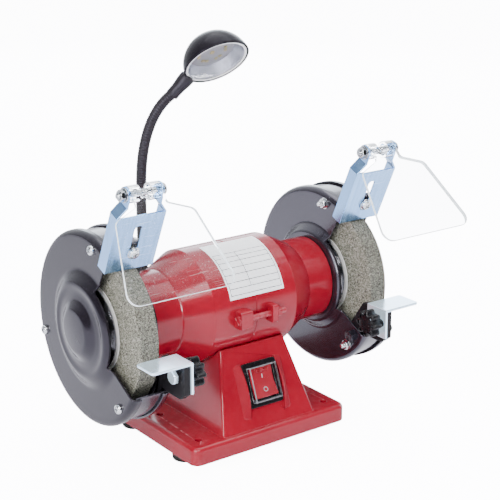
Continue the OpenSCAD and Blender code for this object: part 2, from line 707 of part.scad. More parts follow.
// Guards: profiles are [radius, distance along the shaft]
module inner_profile() {
    polygon(concat(
        [[shaft_hole_r, motor_x], [dish_r, motor_x], [dish_r + dish, guard_x]],
        arc([guard_r - rim_r, guard_x + rim_r], rim_r, -90, 0),
        [[guard_r, guard_x + rim_r + rim_lip], [lip_r, guard_x + rim_r + rim_lip]],
        arc([guard_r - rim_r, guard_x + rim_r], rim_r - sheet, 0, -90),
        [[dish_r + dish - 0.7, guard_x + sheet], [dish_r - 0.7, motor_x + sheet],
         [shaft_hole_r, motor_x + sheet]]));
    translate([band_r - sheet, guard_x + sheet - 0.2]) square([sheet, guard_w - sheet - rim_r + 1.2]);
}
function cover_line(x) = concat(
    [[0, x + boss_h + dome_h]],
    arc([dome_r - 16, x + boss_h + dome_h - 8], 8, 90, 40, 4),
    [[dome_r - 2.6, x + boss_h + 1], [dome_r, x + boss_h + 0.2], [boss_r, x + boss_h - 0.3]],
    [for (i = [1:5]) let (t = i / 5)
        [boss_r + (boss_foot_r - boss_r) * t, x + (boss_h - 0.3) * (1 + cos(180 * t)) / 2]]);
module cover_profile() polygon(concat(
    cover_line(guard_end),
    arc([guard_r - rim_r, guard_end - rim_r], rim_r, 90, 0),
    [[guard_r, guard_end - rim_r - rim_lip], [lip_r, guard_end - rim_r - rim_lip]],
    arc([guard_r - rim_r, guard_end - rim_r], rim_r - sheet, 0, 90),
    reversed(cover_line(guard_end - sheet))));
module opening_cut() sector(open_low, open_high)
    translate([open_r, motor_x - past]) square([guard_r, guard_w + dish + boss_h + dome_h + 2 * past]);
module cover_screw_holes() for (a = cover_screw_angles) at_polar(guard_x - past, cover_screw_at, a)
    cylinder(d = cover_screw_d + 2 * seat_gap, h = guard_w + 2 * past);
function to_plate(p) = [(p - plate_at) * plate_up, (p - plate_at) * plate_front];
module deflector_tab() translate([wheel_x, plate_at[0], plate_at[1]]) rotate([90 + lean, 0, 0])
    along_x(-tab_w / 2, tab_w) polygon([
        [tab_low, -plate_t - slide_gap], [tab_high, -plate_t - slide_gap],
        [tab_high, -plate_t - slide_gap - tab_t], [tab_low + 6, -plate_t - slide_gap - tab_t],
        to_plate(polar(band_r - 0.5, open_high + 7)), to_plate(polar(band_r - 0.8, open_high + 1))]);
module tab_hole() translate([wheel_x, plate_at[0], plate_at[1]]) rotate([90 + lean, 0, 0])
    translate([0, slot_screw_up, -plate_t - slide_gap - tab_t - past])
        cylinder(r = slot_screw_r + thread_gap, h = tab_t + 2 * past);
module guard_inner() difference() {
    union() {
        difference() {
            turned() rotate_extrude($fn = 96) inner_profile();
            opening_cut();
        }
        deflector_tab();
    }
    tab_hole();
    cover_screw_holes();
    for (a = [90, 210, 330]) at_polar(motor_x - past, guard_screw_pcd_r, a)
        cylinder(r = guard_screw_r + seat_gap, h = sheet + 2 * past);
    at_polar(guard_x - past, support_bolt_at[0], support_bolt_at[1])
        cylinder(r = support_bolt_r + seat_gap, h = sheet + 2 * past);
}
module guard_cover() difference() {
    turned() rotate_extrude($fn = 96) cover_profile();
    opening_cut();
    cover_screw_holes();
}
module right_guard_inner() color(black) on_shaft() guard_inner();
module left_guard_inner() color(black) on_shaft() mirror([1, 0, 0]) guard_inner();
module right_guard_cover() color(black) on_shaft() guard_cover();
module left_guard_cover() color(black) on_shaft() mirror([1, 0, 0]) guard_cover();
module guard_screws() color(zinc) on_shaft() both() for (a = [90, 210, 330])
    at_polar(motor_x + sheet, guard_screw_pcd_r, a) mirror([0, 0, 1])
        pan_screw(guard_screw_r, sheet + end_wall - 0.5, 3.6, 2.6);
module cover_screws() color(zinc) on_shaft() both() for (a = cover_screw_angles) {
    at_polar(guard_end, cover_screw_at, a) mirror([0, 0, 1])
        pan_screw(cover_screw_d / 2, guard_w + cover_screw_past, cover_screw_d * 0.95, 2.8);
    at_polar(guard_x, cover_screw_at, a) mirror([0, 0, 1])
        hex_nut(cover_screw_d / 2, cover_screw_d * 1.75, 3.2);
}

// Tool rests: outlines are [y, z] about the shaft
module arm_outline() polygon(rounded([
    [-rest_bolt_y - rest_d / 2 + 1, -rest_drop - rest_t - slide_gap],
    [-rest_bolt_y - rest_d / 2 + 1, -rest_drop - rest_leg],
    [-rest_bolt_y - 3.5, -rest_drop - rest_leg - 5],
    [-rest_back + 3.5, -rest_drop - rest_leg - 5],
    polar(band_r - sheet - 2, open_low + 1),
    polar(band_r - sheet - 2, open_low - 9),
    polar(band_r - sheet - 2, open_low - 20),
    polar(band_r - sheet - 9, open_low - 24),
    polar(band_r - sheet - 16, open_low - 12),
    [-rest_back + 8, -rest_drop - rest_t - slide_gap]], [1, 0, 0, 0, 0, 0, 3, 3, 0, 2]));
module rest_support() difference() {
    along_x(arm_x, arm_t) arm_outline();
    translate([arm_x - past, -rest_bolt_y, -rest_bolt_z]) turned()
        cylinder(r = rest_bolt_r + seat_gap, h = arm_t + 2 * past);
    at_polar(arm_x - past, support_bolt_at[0], support_bolt_at[1])
        cylinder(r = support_bolt_r + thread_gap, h = arm_t + 2 * past);
    cover_screw_holes();
}
module right_rest_support() color(black) on_shaft() rest_support();
module left_rest_support() color(black) on_shaft() mirror([1, 0, 0]) rest_support();
module support_bolts() color(zinc) on_shaft() both()
    at_polar(guard_x, support_bolt_at[0], support_bolt_at[1])
        hex_bolt(support_bolt_r, sheet + arm_t - 0.3, 8, 3.5);
module rest_bolts() color(zinc) on_shaft() both()
    translate([arm_x + arm_t, -rest_bolt_y, -rest_bolt_z]) turned() mirror([0, 0, 1])
        hex_bolt(rest_bolt_r, arm_t + 2 * slide_gap + rest_t + knob_h + 1, 10, 4);
module rest_leg_outline() difference() {
    translate([-rest_back - rest_d, -rest_drop - rest_leg]) square([rest_d, rest_leg]);
    translate([-rest_bolt_y, -rest_bolt_z]) {
        translate([-rest_travel, -rest_slot_half]) square([2 * rest_travel, 2 * rest_slot_half]);
        for (s = [-1, 1]) translate([s * rest_travel, 0]) circle(r = rest_slot_half);
    }
}
module tool_rest() {
    along_x(leg_x, rest_t) rest_leg_outline();
    translate([leg_x, -rest_back - rest_d, -rest_drop - rest_t]) linear_extrude(rest_t) polygon(rounded(
        [[0, 0], [rest_len, 0], [rest_len, rest_d], [0, rest_d]], [0, 2.5, 2.5, 0]));
}
module right_tool_rest() color(zinc) on_shaft() tool_rest();
module left_tool_rest() color(zinc) on_shaft() mirror([1, 0, 0]) tool_rest();
module knob() translate([leg_x - slide_gap, -rest_bolt_y, -rest_bolt_z])
    turned() mirror([0, 0, 1]) difference() {
    union() {
        cylinder(r = rest_bolt_r + 3.5, h = knob_h);
        translate([0, 0, knob_h * 0.25]) linear_extrude(knob_h * 0.7) polygon(
            [for (i = [0:95])
                let (a = i * 3.75, r = knob_d / 2 - 1.5 + 1.5 * cos(knob_lobes * a))
                r * [cos(a), sin(a)]]);
    }
    translate([0, 0, -past]) cylinder(r = rest_bolt_r + run_gap, h = knob_h + 2 * past);
}
module right_knob() color(black) on_shaft() knob();
module left_knob() color(black) on_shaft() mirror([1, 0, 0]) knob();

// Deflectors: X across, Y up the plate and Z out of its front
module channel_outline(s) polygon([
    [s * plate_w / 2, 0], [s * plate_w / 2, plate_len], [s * ear_w / 2, plate_len + joggle_h],
    [s * ear_w / 2, hinge_up + ear_r], [s * ear_in, hinge_up + ear_r],
    [s * ear_in, plate_len + joggle_h - 0.4],
    [s * (plate_w / 2 - plate_t), plate_len - 0.4], [s * (plate_w / 2 - plate_t), 0]]);
module channel_side() polygon(concat(
    [[-past, 0], [plate_len + joggle_h, 0]],
    arc([hinge_up, -hinge_back], ear_r, 90, -90, 10),
    [[plate_len + joggle_h, -flange_d], [-past, -flange_d]]));
module deflector() difference() {
    union() {
        intersection() {
            translate([0, 0, -2 * flange_d]) linear_extrude(3 * flange_d)
                for (s = [-1, 1]) channel_outline(s);
            along_x(-plate_w, 2 * plate_w) channel_side();
        }
        translate([-plate_w / 2 + 0.5, 0, -plate_t]) cube([plate_w - 1, plate_len, plate_t]);
    }
    translate([0, slot_low + slot_w / 2, -plate_t - past]) {
        translate([-slot_w / 2, 0, 0]) cube([slot_w, slot_len - slot_w, plate_t + 2 * past]);
        for (y = [0, slot_len - slot_w]) translate([0, y, 0]) cylinder(d = slot_w, h = plate_t + 2 * past);
    }
    translate([-plate_w, hinge_up, -hinge_back]) turned() cylinder(r = hinge_r + seat_gap, h = 2 * plate_w);
}
module right_deflector() color(zinc) on_plate(1) deflector();
module left_deflector() color(zinc) on_plate(-1) deflector();
module hinge_bolt() {
    turned(ear_w / 2) mirror([0, 0, 1]) hex_bolt(hinge_r, ear_w + 6, 8, 3.4);
    turned(-ear_w / 2) mirror([0, 0, 1]) hex_nut(hinge_r, 8, 4);
}
module right_hinge_bolt() color(zinc) on_hinge(1) hinge_bolt();
module left_hinge_bolt() color(zinc) on_hinge(-1) hinge_bolt();
module deflector_screws() color(zinc) for (s = [-1, 1]) on_plate(s) translate([0, slot_screw_up, slide_gap]) {
    mirror([0, 0, 1]) pan_screw(slot_screw_r, plate_t + 2 * slide_gap + tab_t + 1.5, slot_w / 2 + 2, 2.8);
}

// Eye shields: Y runs from the hinge down the sheet, and the sheet lies before the hinge
module shield_outline() polygon(rounded([
    [-tongue_w / 2, 0], [tongue_w / 2, 0], [tongue_w / 2, tongue_len],
    [shield_w_top / 2, shield_shoulder], [shield_w_low / 2, shield_len],
    [-shield_w_low / 2, shield_len], [-shield_w_top / 2, shield_shoulder],
    [-tongue_w / 2, tongue_len]], [0, 0, 3, 6, 8, 8, 6, 3]));
module shield(s, droop) on_hinge(s) rotate([180 + droop, 0, 0]) difference() {
    union() {
        turned(-tongue_w / 2) cylinder(r = barrel_r, h = tongue_w);
        translate([0, 0, -barrel_r]) linear_extrude(shield_t) shield_outline();
    }
    turned(-tongue_w) cylinder(r = hinge_r + run_gap, h = 2 * tongue_w);
}
module right_shield() color(clear) shield(1, right_droop);
module left_shield() color(clear) shield(-1, left_droop);

// Switch: X across, Y up the slope and Z out of the pedestal
module switch_housing() color(black) on_switch() difference() {
    union() {
        translate([-body_w / 2, -body_h / 2, -body_deep]) cube([body_w, body_h, body_deep + past]);
        linear_extrude(bezel_t) polygon(rounded(
            [[-bezel_w / 2, -bezel_h / 2], [bezel_w / 2, -bezel_h / 2],
             [bezel_w / 2, bezel_h / 2], [-bezel_w / 2, bezel_h / 2]], [2, 2, 2, 2]));
    }
    translate([-rocker_w / 2 - slide_gap, -pocket_half_h, -12])
        cube([rocker_w + 2 * slide_gap, 2 * pocket_half_h, 12 + bezel_t + past]);
    translate([0, 0, -pivot_deep]) turned(-rocker_w / 2 - 1.6)
        cylinder(r = axle_r + run_gap, h = rocker_w + 3.2);
}
module switch_cover() color(clear) on_switch() translate([0, 0, bezel_t]) difference() {
    translate([-cover_w / 2, -cover_h / 2, 0]) cube([cover_w, cover_h, cover_out - bezel_t]);
    translate([-cover_w / 2 + cover_wall, -cover_h / 2 + cover_wall, -past])
        cube([cover_w - 2 * cover_wall, cover_h - 2 * cover_wall, cover_out - bezel_t - cover_wall + past]);
}
module switch_rocker() color([0.8, 0.1, 0.12]) on_switch() translate([0, 0, -pivot_deep])
    rotate([-rocker_tilt, 0, 0]) {
    along_x(-rocker_w / 2, rocker_w) polygon([
        [-rocker_half, rocker_top], [-rocker_half, 1], [-3, -5], [3, -5], [rocker_half, 1],
        [rocker_half, rocker_top], [0, rocker_top - 2]]);
    turned(-rocker_w / 2 - 1.3) cylinder(r = axle_r, h = rocker_w + 2.6);
}
module cord_gland() color(black) placed() rear_frame() difference() {
    union() {
        hex(17, 4);
        translate([0, 0, 4]) cylinder(r1 = 7.6, r2 = 5.4, h = 9);
        translate([0, 0, -base_wall - 4]) cylinder(r = gland_r, h = base_wall + 5);
    }
    translate([0, 0, -4 * base_wall]) cylinder(r = 3.2, h = 8 * base_wall);
}

// Lamp foot and gooseneck
module lamp_foot() color(black) on_lamp() difference() {
    union() {
        translate([-foot_half, -foot_pad_r, 0]) cube([2 * foot_half, 2 * foot_pad_r, foot_t]);
        for (s = [-1, 1]) translate([s * foot_half, 0, 0]) cylinder(r = foot_pad_r, h = foot_t);
        cylinder(r = collar_r, h = foot_t + collar_h);
    }
    translate([0, 0, foot_t]) cylinder(r = goose_r + seat_gap, h = collar_h + past);
    for (s = [-1, 1]) translate([s * foot_half, 0, -past])
        cylinder(r = foot_screw_r + seat_gap, h = foot_t + 2 * past);
}
module lamp_foot_screws() color(zinc) on_lamp() for (s = [-1, 1]) translate([s * foot_half, 0, foot_t])
    mirror([0, 0, 1]) pan_screw(foot_screw_r, foot_t + base_wall, 3.6, 2.6);

// Rings of the gooseneck are [middle, direction, radius]; a sweep goes out on the ribs and back in the bore
function on_curve(p, t) = let (u = 1 - t)
    u * u * u * p[0] + 3 * u * u * t * p[1] + 3 * u * t * t * p[2] + t * t * t * p[3];
function curve_dir(p, t) = let (u = 1 - t)
    unit(u * u * (p[1] - p[0]) + 2 * u * t * (p[2] - p[1]) + t * t * (p[3] - p[2]));
function ball_rings(c, d) = [for (i = [0:3])
    let (a = ball_high * i / 3)
    [c + d * goose_r * sin(a), d, goose_r * cos(a)]];
function cup_rings(c, d) = [for (i = [0:3]) let (a = cup_high + (cup_low - cup_high) * i / 3)
    [c + d * cup_r * sin(a), d, cup_r * cos(a)]];
function cup_rim(c, d) = [[c + d * cup_r * sin(cup_low), d, goose_r]];
function straight_ribs(a, b) =
    let (d = unit(b - a), length = norm(b - a), n = round(length / goose_pitch))
    [for (i = [0:n - 1], j = [0, 1])
        [a + d * length * (i + 0.25 + j * 0.5) / n, d, goose_r - j * goose_groove]];
function curve_ribs(p, t0, n) =
    [for (i = [0:n - 1], j = [0, 1]) let (t = t0 + (1 - t0) * (i + 0.25 + j * 0.5) / n)
        [on_curve(p, t), curve_dir(p, t), goose_r - j * goose_groove]];
module ring_sweep(rings) {
    n = len(rings);
    points = [for (ring = rings) let (
            d = ring[1],
            u = unit(neck_side - (neck_side * d) * d),
            v = cross(d, u))
        for (k = [0:goose_sides - 1]) let (a = 360 * k / goose_sides)
            ring[0] + ring[2] * (u * cos(a) + v * sin(a))];
    faces = [for (i = [0:n - 1], k = [0:goose_sides - 1], half = [0, 1]) let (
            a = i * goose_sides + k,
            b = i * goose_sides + (k + 1) % goose_sides,
            c = ((i + 1) % n) * goose_sides + (k + 1) % goose_sides,
            e = ((i + 1) % n) * goose_sides + k)
        half == 0 ? [a, c, b] : [a, e, c]];
    polyhedron(points, faces, convexity = 10);
}
up = [0, 0, 1];
function lower_rings() = let (a = [0, 0, foot_t]) concat(
    [[a, up, goose_r - goose_groove]], straight_ribs(a, bend_1), ball_rings(bend_1, up),
    [[bend_1 + up * goose_r * sin(ball_high), up, bore_r], [a, up, bore_r]]);
function middle_rings() = let (a = bend_1 + up * cup_r * sin(cup_low)) concat(
    cup_rim(bend_1, up), straight_ribs(a, bend_2), ball_rings(bend_2, up),
    [[bend_2 + up * goose_r * sin(ball_high), up, bore_r]], cup_rings(bend_1, up));
function upper_rings() = let (last = route[3], d = ferrule_dir, ribs = 36) concat(
    cup_rim(bend_2, up), curve_ribs(route, 0.03, ribs), ball_rings(last, d),
    [[last + d * goose_r * sin(ball_high), d, bore_r]],
    [for (i = [12:-1:1]) let (t = 0.05 + 0.9 * i / 12) [on_curve(route, t), curve_dir(route, t), bore_r]],
    cup_rings(bend_2, up));
module neck_lower() color(black) on_lamp() ring_sweep(lower_rings());
module neck_middle() color(black) on_lamp() ring_sweep(middle_rings());
module neck_upper() color(black) on_lamp() ring_sweep(upper_rings());

// Lamp head: Z runs from the rim into the dome
module dome(grow) difference() {
    translate([0, 0, shade_depth - dome_ball_r]) sphere(r = dome_ball_r + grow, $fn = 96);
    translate([0, 0, -2 * shade_d]) cylinder(r = 2 * shade_d, h = 2 * shade_d);
}
module lamp_shade() color(black) on_head() difference() {
    dome(0);
    translate([0, 0, -past]) cylinder(r = shade_r - shade_wall - 0.2, h = past + lens_z + lens_t + 1);
    dome(-shade_wall);
}
module lamp_ferrule() color(black) difference() {
    on_lamp() translate(route[3]) rotate([0, acos(ferrule_dir[2]), atan2(ferrule_dir[1], ferrule_dir[0])])
        rotate_extrude() polygon([
            [bore_r, cup_r * sin(cup_high)], [cup_r * cos(48), cup_r * sin(48)],
            [goose_r - 0.15, cup_r * sin(cup_low)], [goose_r + 0.9, cup_r * sin(cup_low)],
            [goose_r + 1.1, ferrule_waist], [goose_r + 1.9, ferrule_flare],
            [goose_r + 1.9, ferrule_len], [bore_r, ferrule_len]]);
    on_head() translate([0, 0, shade_depth - dome_ball_r]) sphere(r = dome_ball_r + thread_gap, $fn = 96);
    on_head() translate([0, 0, -2 * shade_d]) cylinder(r = 2 * shade_d, h = 2 * shade_d);
}
module lamp_lens() color(clear) on_head() translate([0, 0, lens_z])
    cylinder(r = shade_r - shade_wall - 0.2 - seat_gap, h = lens_t);
reflector_r = shade_r - shade_wall - 1.2;
module lamp_reflector() color(chrome) on_head() rotate_extrude() polygon([
    [reflector_r, lens_z + lens_t], [board_r + 0.6, board_z + 1.6], [board_r - 0.4, board_z + 1.6],
    [board_r - 0.4, board_z], [reflector_r - 0.8, lens_z + lens_t]]);
module led_board() color(paper) on_head() {
    translate([0, 0, board_z + 1.6]) cylinder(r = board_r, h = 1.6);
    for (ring = [[1, 0], [6, 7], [12, 14]], i = [0:ring[0] - 1]) rotate([0, 0, i * 360 / ring[0]])
        translate([ring[1], 0, board_z + 0.6]) cylinder(r = 1.6, h = 1.4, $fn = 24);
}

base_casting();
bottom_plate();
rubber_feet();
foot_screws();
motor_housing_left();
motor_housing_right();
housing_bolts();
cradle_bolts();
stator_core();
stator_windings();
bearings();
run_capacitor();
rating_label();
left_guard_inner();
right_guard_inner();
left_guard_cover();
right_guard_cover();
guard_screws();
cover_screws();
left_rest_support();
right_rest_support();
support_bolts();
rest_bolts();
deflector_screws();
switch_housing();
switch_cover();
switch_rocker();
cord_gland();
lamp_foot();
lamp_foot_screws();
neck_lower();
neck_middle();
neck_upper();
lamp_ferrule();
lamp_shade();
lamp_reflector();
led_board();
lamp_lens();
shaft();
rotor_core();
cooling_fan();
inner_flanges();
left_wheel();
right_wheel();
wheel_blotters();
outer_flanges();
wheel_nuts();
left_deflector();
right_deflector();
left_hinge_bolt();
right_hinge_bolt();
left_shield();
right_shield();
left_tool_rest();
right_tool_rest();
left_knob();
right_knob();
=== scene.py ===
"""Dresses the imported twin-wheel bench grinder with its gooseneck work lamp.

All sizes are in millimetres until a mesh is stored. The shaft runs along X, the user stands on the -Y side
and Z points up from the bench.
"""

from __future__ import annotations

import json
import logging
import math
from dataclasses import dataclass, field, replace
from enum import Enum
from typing import Callable, ClassVar, Sequence, Union

import bmesh
import bpy
from mathutils import Matrix, Vector, noise

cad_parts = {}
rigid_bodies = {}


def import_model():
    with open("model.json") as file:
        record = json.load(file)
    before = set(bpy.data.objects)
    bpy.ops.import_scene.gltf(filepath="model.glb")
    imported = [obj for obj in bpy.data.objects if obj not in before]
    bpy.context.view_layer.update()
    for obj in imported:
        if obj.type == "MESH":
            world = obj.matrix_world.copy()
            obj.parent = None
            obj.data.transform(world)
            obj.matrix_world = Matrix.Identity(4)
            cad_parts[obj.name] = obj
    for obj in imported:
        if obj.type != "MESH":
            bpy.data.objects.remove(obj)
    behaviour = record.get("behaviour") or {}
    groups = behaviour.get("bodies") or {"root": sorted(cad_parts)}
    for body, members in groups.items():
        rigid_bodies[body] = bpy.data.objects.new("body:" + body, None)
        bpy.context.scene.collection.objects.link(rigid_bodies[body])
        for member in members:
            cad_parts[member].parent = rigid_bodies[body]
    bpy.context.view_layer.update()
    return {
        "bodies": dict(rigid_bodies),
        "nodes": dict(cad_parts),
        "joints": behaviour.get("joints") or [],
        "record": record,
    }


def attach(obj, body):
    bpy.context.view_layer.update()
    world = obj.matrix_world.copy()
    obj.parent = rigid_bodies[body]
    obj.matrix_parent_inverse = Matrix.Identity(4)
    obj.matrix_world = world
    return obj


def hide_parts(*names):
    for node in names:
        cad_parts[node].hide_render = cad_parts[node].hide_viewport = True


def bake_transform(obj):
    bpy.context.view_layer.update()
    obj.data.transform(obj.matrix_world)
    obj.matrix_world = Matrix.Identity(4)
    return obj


log = logging.getLogger("grinder")

MM = 0.001
SHAFT_Y = 21.8924
SHAFT_Z = 110.0
FINE_WELD = 1e-4
COARSE_WELD = 1e-3
ZX_PLANE = Matrix(((0, 0, 1, 0), (1, 0, 0, 0), (0, 1, 0, 0), (0, 0, 0, 1)))
Point2 = tuple[float, float]
Point3 = tuple[float, float, float]
Colour = tuple[float, float, float]
Socket = bpy.types.NodeSocket
Value = Union[bpy.types.NodeSocket, float, tuple]
BLACK: Colour = (0.0, 0.0, 0.0)
WHITE: Colour = (1.0, 1.0, 1.0)


class Side(Enum):
    """End of the shaft that a piece belongs to."""

    LEFT = -1
    RIGHT = 1

    @property
    def word(self) -> str:
        """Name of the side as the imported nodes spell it."""
        return self.name.lower()


class Body(Enum):
    """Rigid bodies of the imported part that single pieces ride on."""

    FRAME = "frame"
    ROTOR = "rotor"
    ROCKER = "rocker"
    LAMP_HEAD = "lamp_head"


# Plane geometry


def smooth(t: float) -> float:
    """Eased step from 0 to 1."""
    t = min(1.0, max(0.0, t))
    return t * t * (3.0 - 2.0 * t)


def polar(r: float, a: float) -> Point2:
    """Point (y, z) about the shaft at a radius and an angle above the front."""
    return -r * math.cos(math.radians(a)), r * math.sin(math.radians(a))


def arc(middle: Point2, r: float, start: float, end: float, steps: int) -> list[Point2]:
    """Points of a circular arc between two angles in degrees."""
    angles = [math.radians(start + (end - start) * i / steps) for i in range(steps + 1)]
    return [(middle[0] + r * math.cos(a), middle[1] + r * math.sin(a)) for a in angles]


def rounded(points: Sequence[Point2], radii: Sequence[float], steps: int = 6,
            closed: bool = True) -> list[Point2]:
    """Rounds the corners of an outline.

    Args:
        points: Corners in order.
        radii: One radius per corner, 0 for a sharp one.
        steps: Chords per rounded corner.
        closed: Whether the last corner joins the first.

    Returns:
        The rounded outline.
    """
    out: list[Point2] = []
    n = len(points)
    for i, (point, r) in enumerate(zip(points, radii)):
        if r <= 0 or (not closed and i in (0, n - 1)):
            out.append(point)
            continue
        b = Vector(point)
        u = (Vector(points[i - 1]) - b).normalized()
        w = (Vector(points[(i + 1) % n]) - b).normalized()
        half = math.acos(max(-1.0, min(1.0, u.dot(w)))) / 2
        middle = b + (u + w).normalized() * (r / math.sin(half))
        first = b + u * (r / math.tan(half)) - middle
        last = b + w * (r / math.tan(half)) - middle
        turn = math.atan2(first.x * last.y - first.y * last.x, first.dot(last))
        for k in range(steps + 1):
            t = turn * k / steps
            out.append((middle.x + first.x * math.cos(t) - first.y * math.sin(t),
                        middle.y + first.x * math.sin(t) + first.y * math.cos(t)))
    return out


def rectangle(width: float, height: float, r: float) -> list[Point2]:
    """Outline of a rectangle about the origin with rounded corners."""
    w, h = width / 2, height / 2
    return rounded([(-w, -h), (w, -h), (w, h), (-w, h)], [r] * 4)


# Frames that pieces are built in


def moved(x: float = 0.0, y: float = 0.0, z: float = 0.0) -> Matrix:
    """Step along the local axes."""
    return Matrix.Translation((x, y, z))


def turned(degrees: float, axis: str) -> Matrix:
    """Turn about a local axis."""
    return Matrix.Rotation(math.radians(degrees), 4, axis)


def at(x: float, y: float, z: float) -> Matrix:
    """Placing at a point measured from the shaft line and the bench."""
    return moved(x, y + SHAFT_Y, z)


def along_x(x: float, y: float, z: float, side: int = 1) -> Matrix:
    """Placing whose local Z points along the shaft, outward on the given side."""
    return at(x, y, z) @ turned(90.0 * side, "Y")


def about_shaft(x: float, r: float, a: float, side: int = 1) -> Matrix:
    """Placing at a radius and angle about the shaft, with local Z along the shaft."""
    y, z = polar(r, a)
    return along_x(x, y, SHAFT_Z + z, side)


def off_shaft(point: Vector) -> Vector:
    """Shortest way from the shaft line to a point."""
    return Vector((0.0, point.y - SHAFT_Y, point.z - SHAFT_Z))


# Shared surface effects


class Graph:
    """Node tree with short ways to add nodes and links."""

    def __init__(self, tree: bpy.types.NodeTree) -> None:
        """Wraps a tree."""
        self.tree = tree

    def feed(self, socket: Socket, value: Value) -> None:
        """Links a socket, or sets its constant value.

        Args:
            socket: Socket to feed.
            value: Another node's output, a number, or a tuple for a vector or a colour.
        """
        if isinstance(value, bpy.types.NodeSocket):
            self.tree.links.new(value, socket)
        elif isinstance(value, tuple) and len(socket.default_value) == 4:
            socket.default_value = (*value, 1.0)
        else:
            socket.default_value = value

    def node(self, kind: str, inputs: dict | None = None, **settings: object) -> bpy.types.Node:
        """Adds a node.

        Args:
            kind: Node type without its prefix.
            inputs: Values or links by the names or numbers of the sockets.
            settings: Properties of the node.

        Returns:
            The node.
        """
        node = self.tree.nodes.new(f"ShaderNode{kind}")
        for key, value in settings.items():
            setattr(node, key, value)
        for key, value in (inputs or {}).items():
            self.feed(node.inputs[key], value)
        return node

    def math(self, operation: str, a: Value, b: Value = 0.0, clamp: bool = False) -> Socket:
        """One step of arithmetic."""
        return self.node("Math", {0: a, 1: b}, operation=operation, use_clamp=clamp).outputs[0]

    def add(self, a: Value, b: Value) -> Socket:
        """Sum of two masks, held under 1."""
        return self.math("ADD", a, b, True)

    def times(self, a: Value, b: Value) -> Socket:
        """Product of two values."""
        return self.math("MULTIPLY", a, b)

    def span(self, value: Socket, low: float, high: float, to: Point2 = (0.0, 1.0)) -> Socket:
        """Maps a value from one range to another, clamped."""
        ends = {"From Min": low, "From Max": high, "To Min": to[0], "To Max": to[1]}
        return self.node("MapRange", {"Value": value, **ends}).outputs["Result"]

    def spread(self, mask: Socket, low: float, high: float) -> Socket:
        """Maps a mask from 0..1 to a range."""
        return self.span(mask, 0.0, 1.0, (low, high))

    def mix(self, mask: Socket, low: Value, high: Value) -> Socket:
        """Lays a colour over another by a mask."""
        return self.node("Mix", {0: mask, 6: low, 7: high}, data_type="RGBA").outputs[2]

    def vector(self, operation: str, a: Value, b: Value = BLACK) -> bpy.types.Node:
        """One step of vector arithmetic."""
        return self.node("VectorMath", {0: a, 1: b}, operation=operation)

    def grain(self, vector: Socket, scale: Value, detail: float, rough: float = 0.5) -> Socket:
        """Noise with a scale, a depth of detail and a roughness of that detail."""
        inputs = {"Vector": vector, "Scale": scale, "Detail": detail, "Roughness": rough}
        return self.node("TexNoise", inputs).outputs["Fac"]

    def stretched(self, vector: Socket, scale: Point3, turn: Point3 = BLACK) -> Socket:
        """Coordinates that are turned and stretched."""
        return self.node("Mapping", {"Vector": vector, "Rotation": turn, "Scale": scale}).outputs["Vector"]


Outputs = tuple[Socket, ...]


def mottle(graph: Graph, values: bpy.types.NodeOutputs, coords: Socket) -> Outputs:
    """Slow colour variation between two tones.

    Args:
        graph: Graph of the group; the same in every effect below.
        values: Inputs of the group.
        coords: Coordinates of the piece.

    Returns:
        Outputs of the group in order.
    """
    mask = graph.span(graph.grain(coords, values["Scale"], 5.0), 0.36, 0.64)
    return (graph.mix(mask, values["Low"], values["High"]),)


def dust(graph: Graph, values: bpy.types.NodeOutputs, coords: Socket) -> Outputs:
    """Fine grinding dust that settles on faces that look up.

    Args:
        graph: Graph of the group.
        values: Inputs of the group.
        coords: Coordinates of the piece.

    Returns:
        The mask.
    """
    split = graph.node("SeparateXYZ", {0: graph.node("NewGeometry").outputs["Normal"]})
    up = graph.span(split.outputs["Z"], 0.1, 1.0)
    patches = graph.span(graph.grain(coords, values["Scale"], 8.0, 0.7), 0.42, 0.72)
    return (graph.times(graph.times(up, patches), values["Amount"]),)


def peel(graph: Graph, values: bpy.types.NodeOutputs, coords: Socket) -> Outputs:
    """Orange peel of sprayed enamel, or the fine pebble of moulded plastic, as height and mask."""
    grain = graph.grain(coords, values["Scale"], 2.0)
    return grain, graph.span(grain, 0.3, 0.7)


def scratches(graph: Graph, values: bpy.types.NodeOutputs, coords: Socket) -> Outputs:
    """Thin handling scratches in two directions.

    Args:
        graph: Graph of the group.
        values: Inputs of the group.
        coords: Coordinates of the piece.

    Returns:
        The mask.
    """
    masks = []
    for turn, stretch in ((0.6, (14.0, 14.0, 0.5)), (-0.9, (0.6, 16.0, 16.0))):
        lines = graph.stretched(coords, stretch, (turn, turn * 0.7, turn * 1.3))
        masks.append(graph.span(graph.grain(lines, values["Scale"], 3.0), 0.66, 0.72))
    return (graph.times(graph.math("MAXIMUM", *masks), values["Amount"]),)


def streaks(graph: Graph, values: bpy.types.NodeOutputs, coords: Socket) -> Outputs:
    """Rolling streaks of plated sheet."""
    lines = graph.stretched(coords, (6.0, 0.5, 0.5))
    return (graph.span(graph.grain(lines, values["Scale"], 6.0), 0.3, 0.7),)


def grit(graph: Graph, values: bpy.types.NodeOutputs, coords: Socket) -> Outputs:
    """Bonded abrasive grains, each with its own tone.

    Args:
        graph: Graph of the group.
        values: Inputs of the group.
        coords: Coordinates of the piece.

    Returns:
        Tone and height.
    """
    cells = graph.node("TexVoronoi", {"Vector": coords, "Scale": values["Scale"]}).outputs
    tone = graph.node("SeparateColor", {0: cells["Color"]}).outputs["Red"]
    return tone, graph.span(cells["Distance"], 0.0, 0.8, (1.0, 0.0))


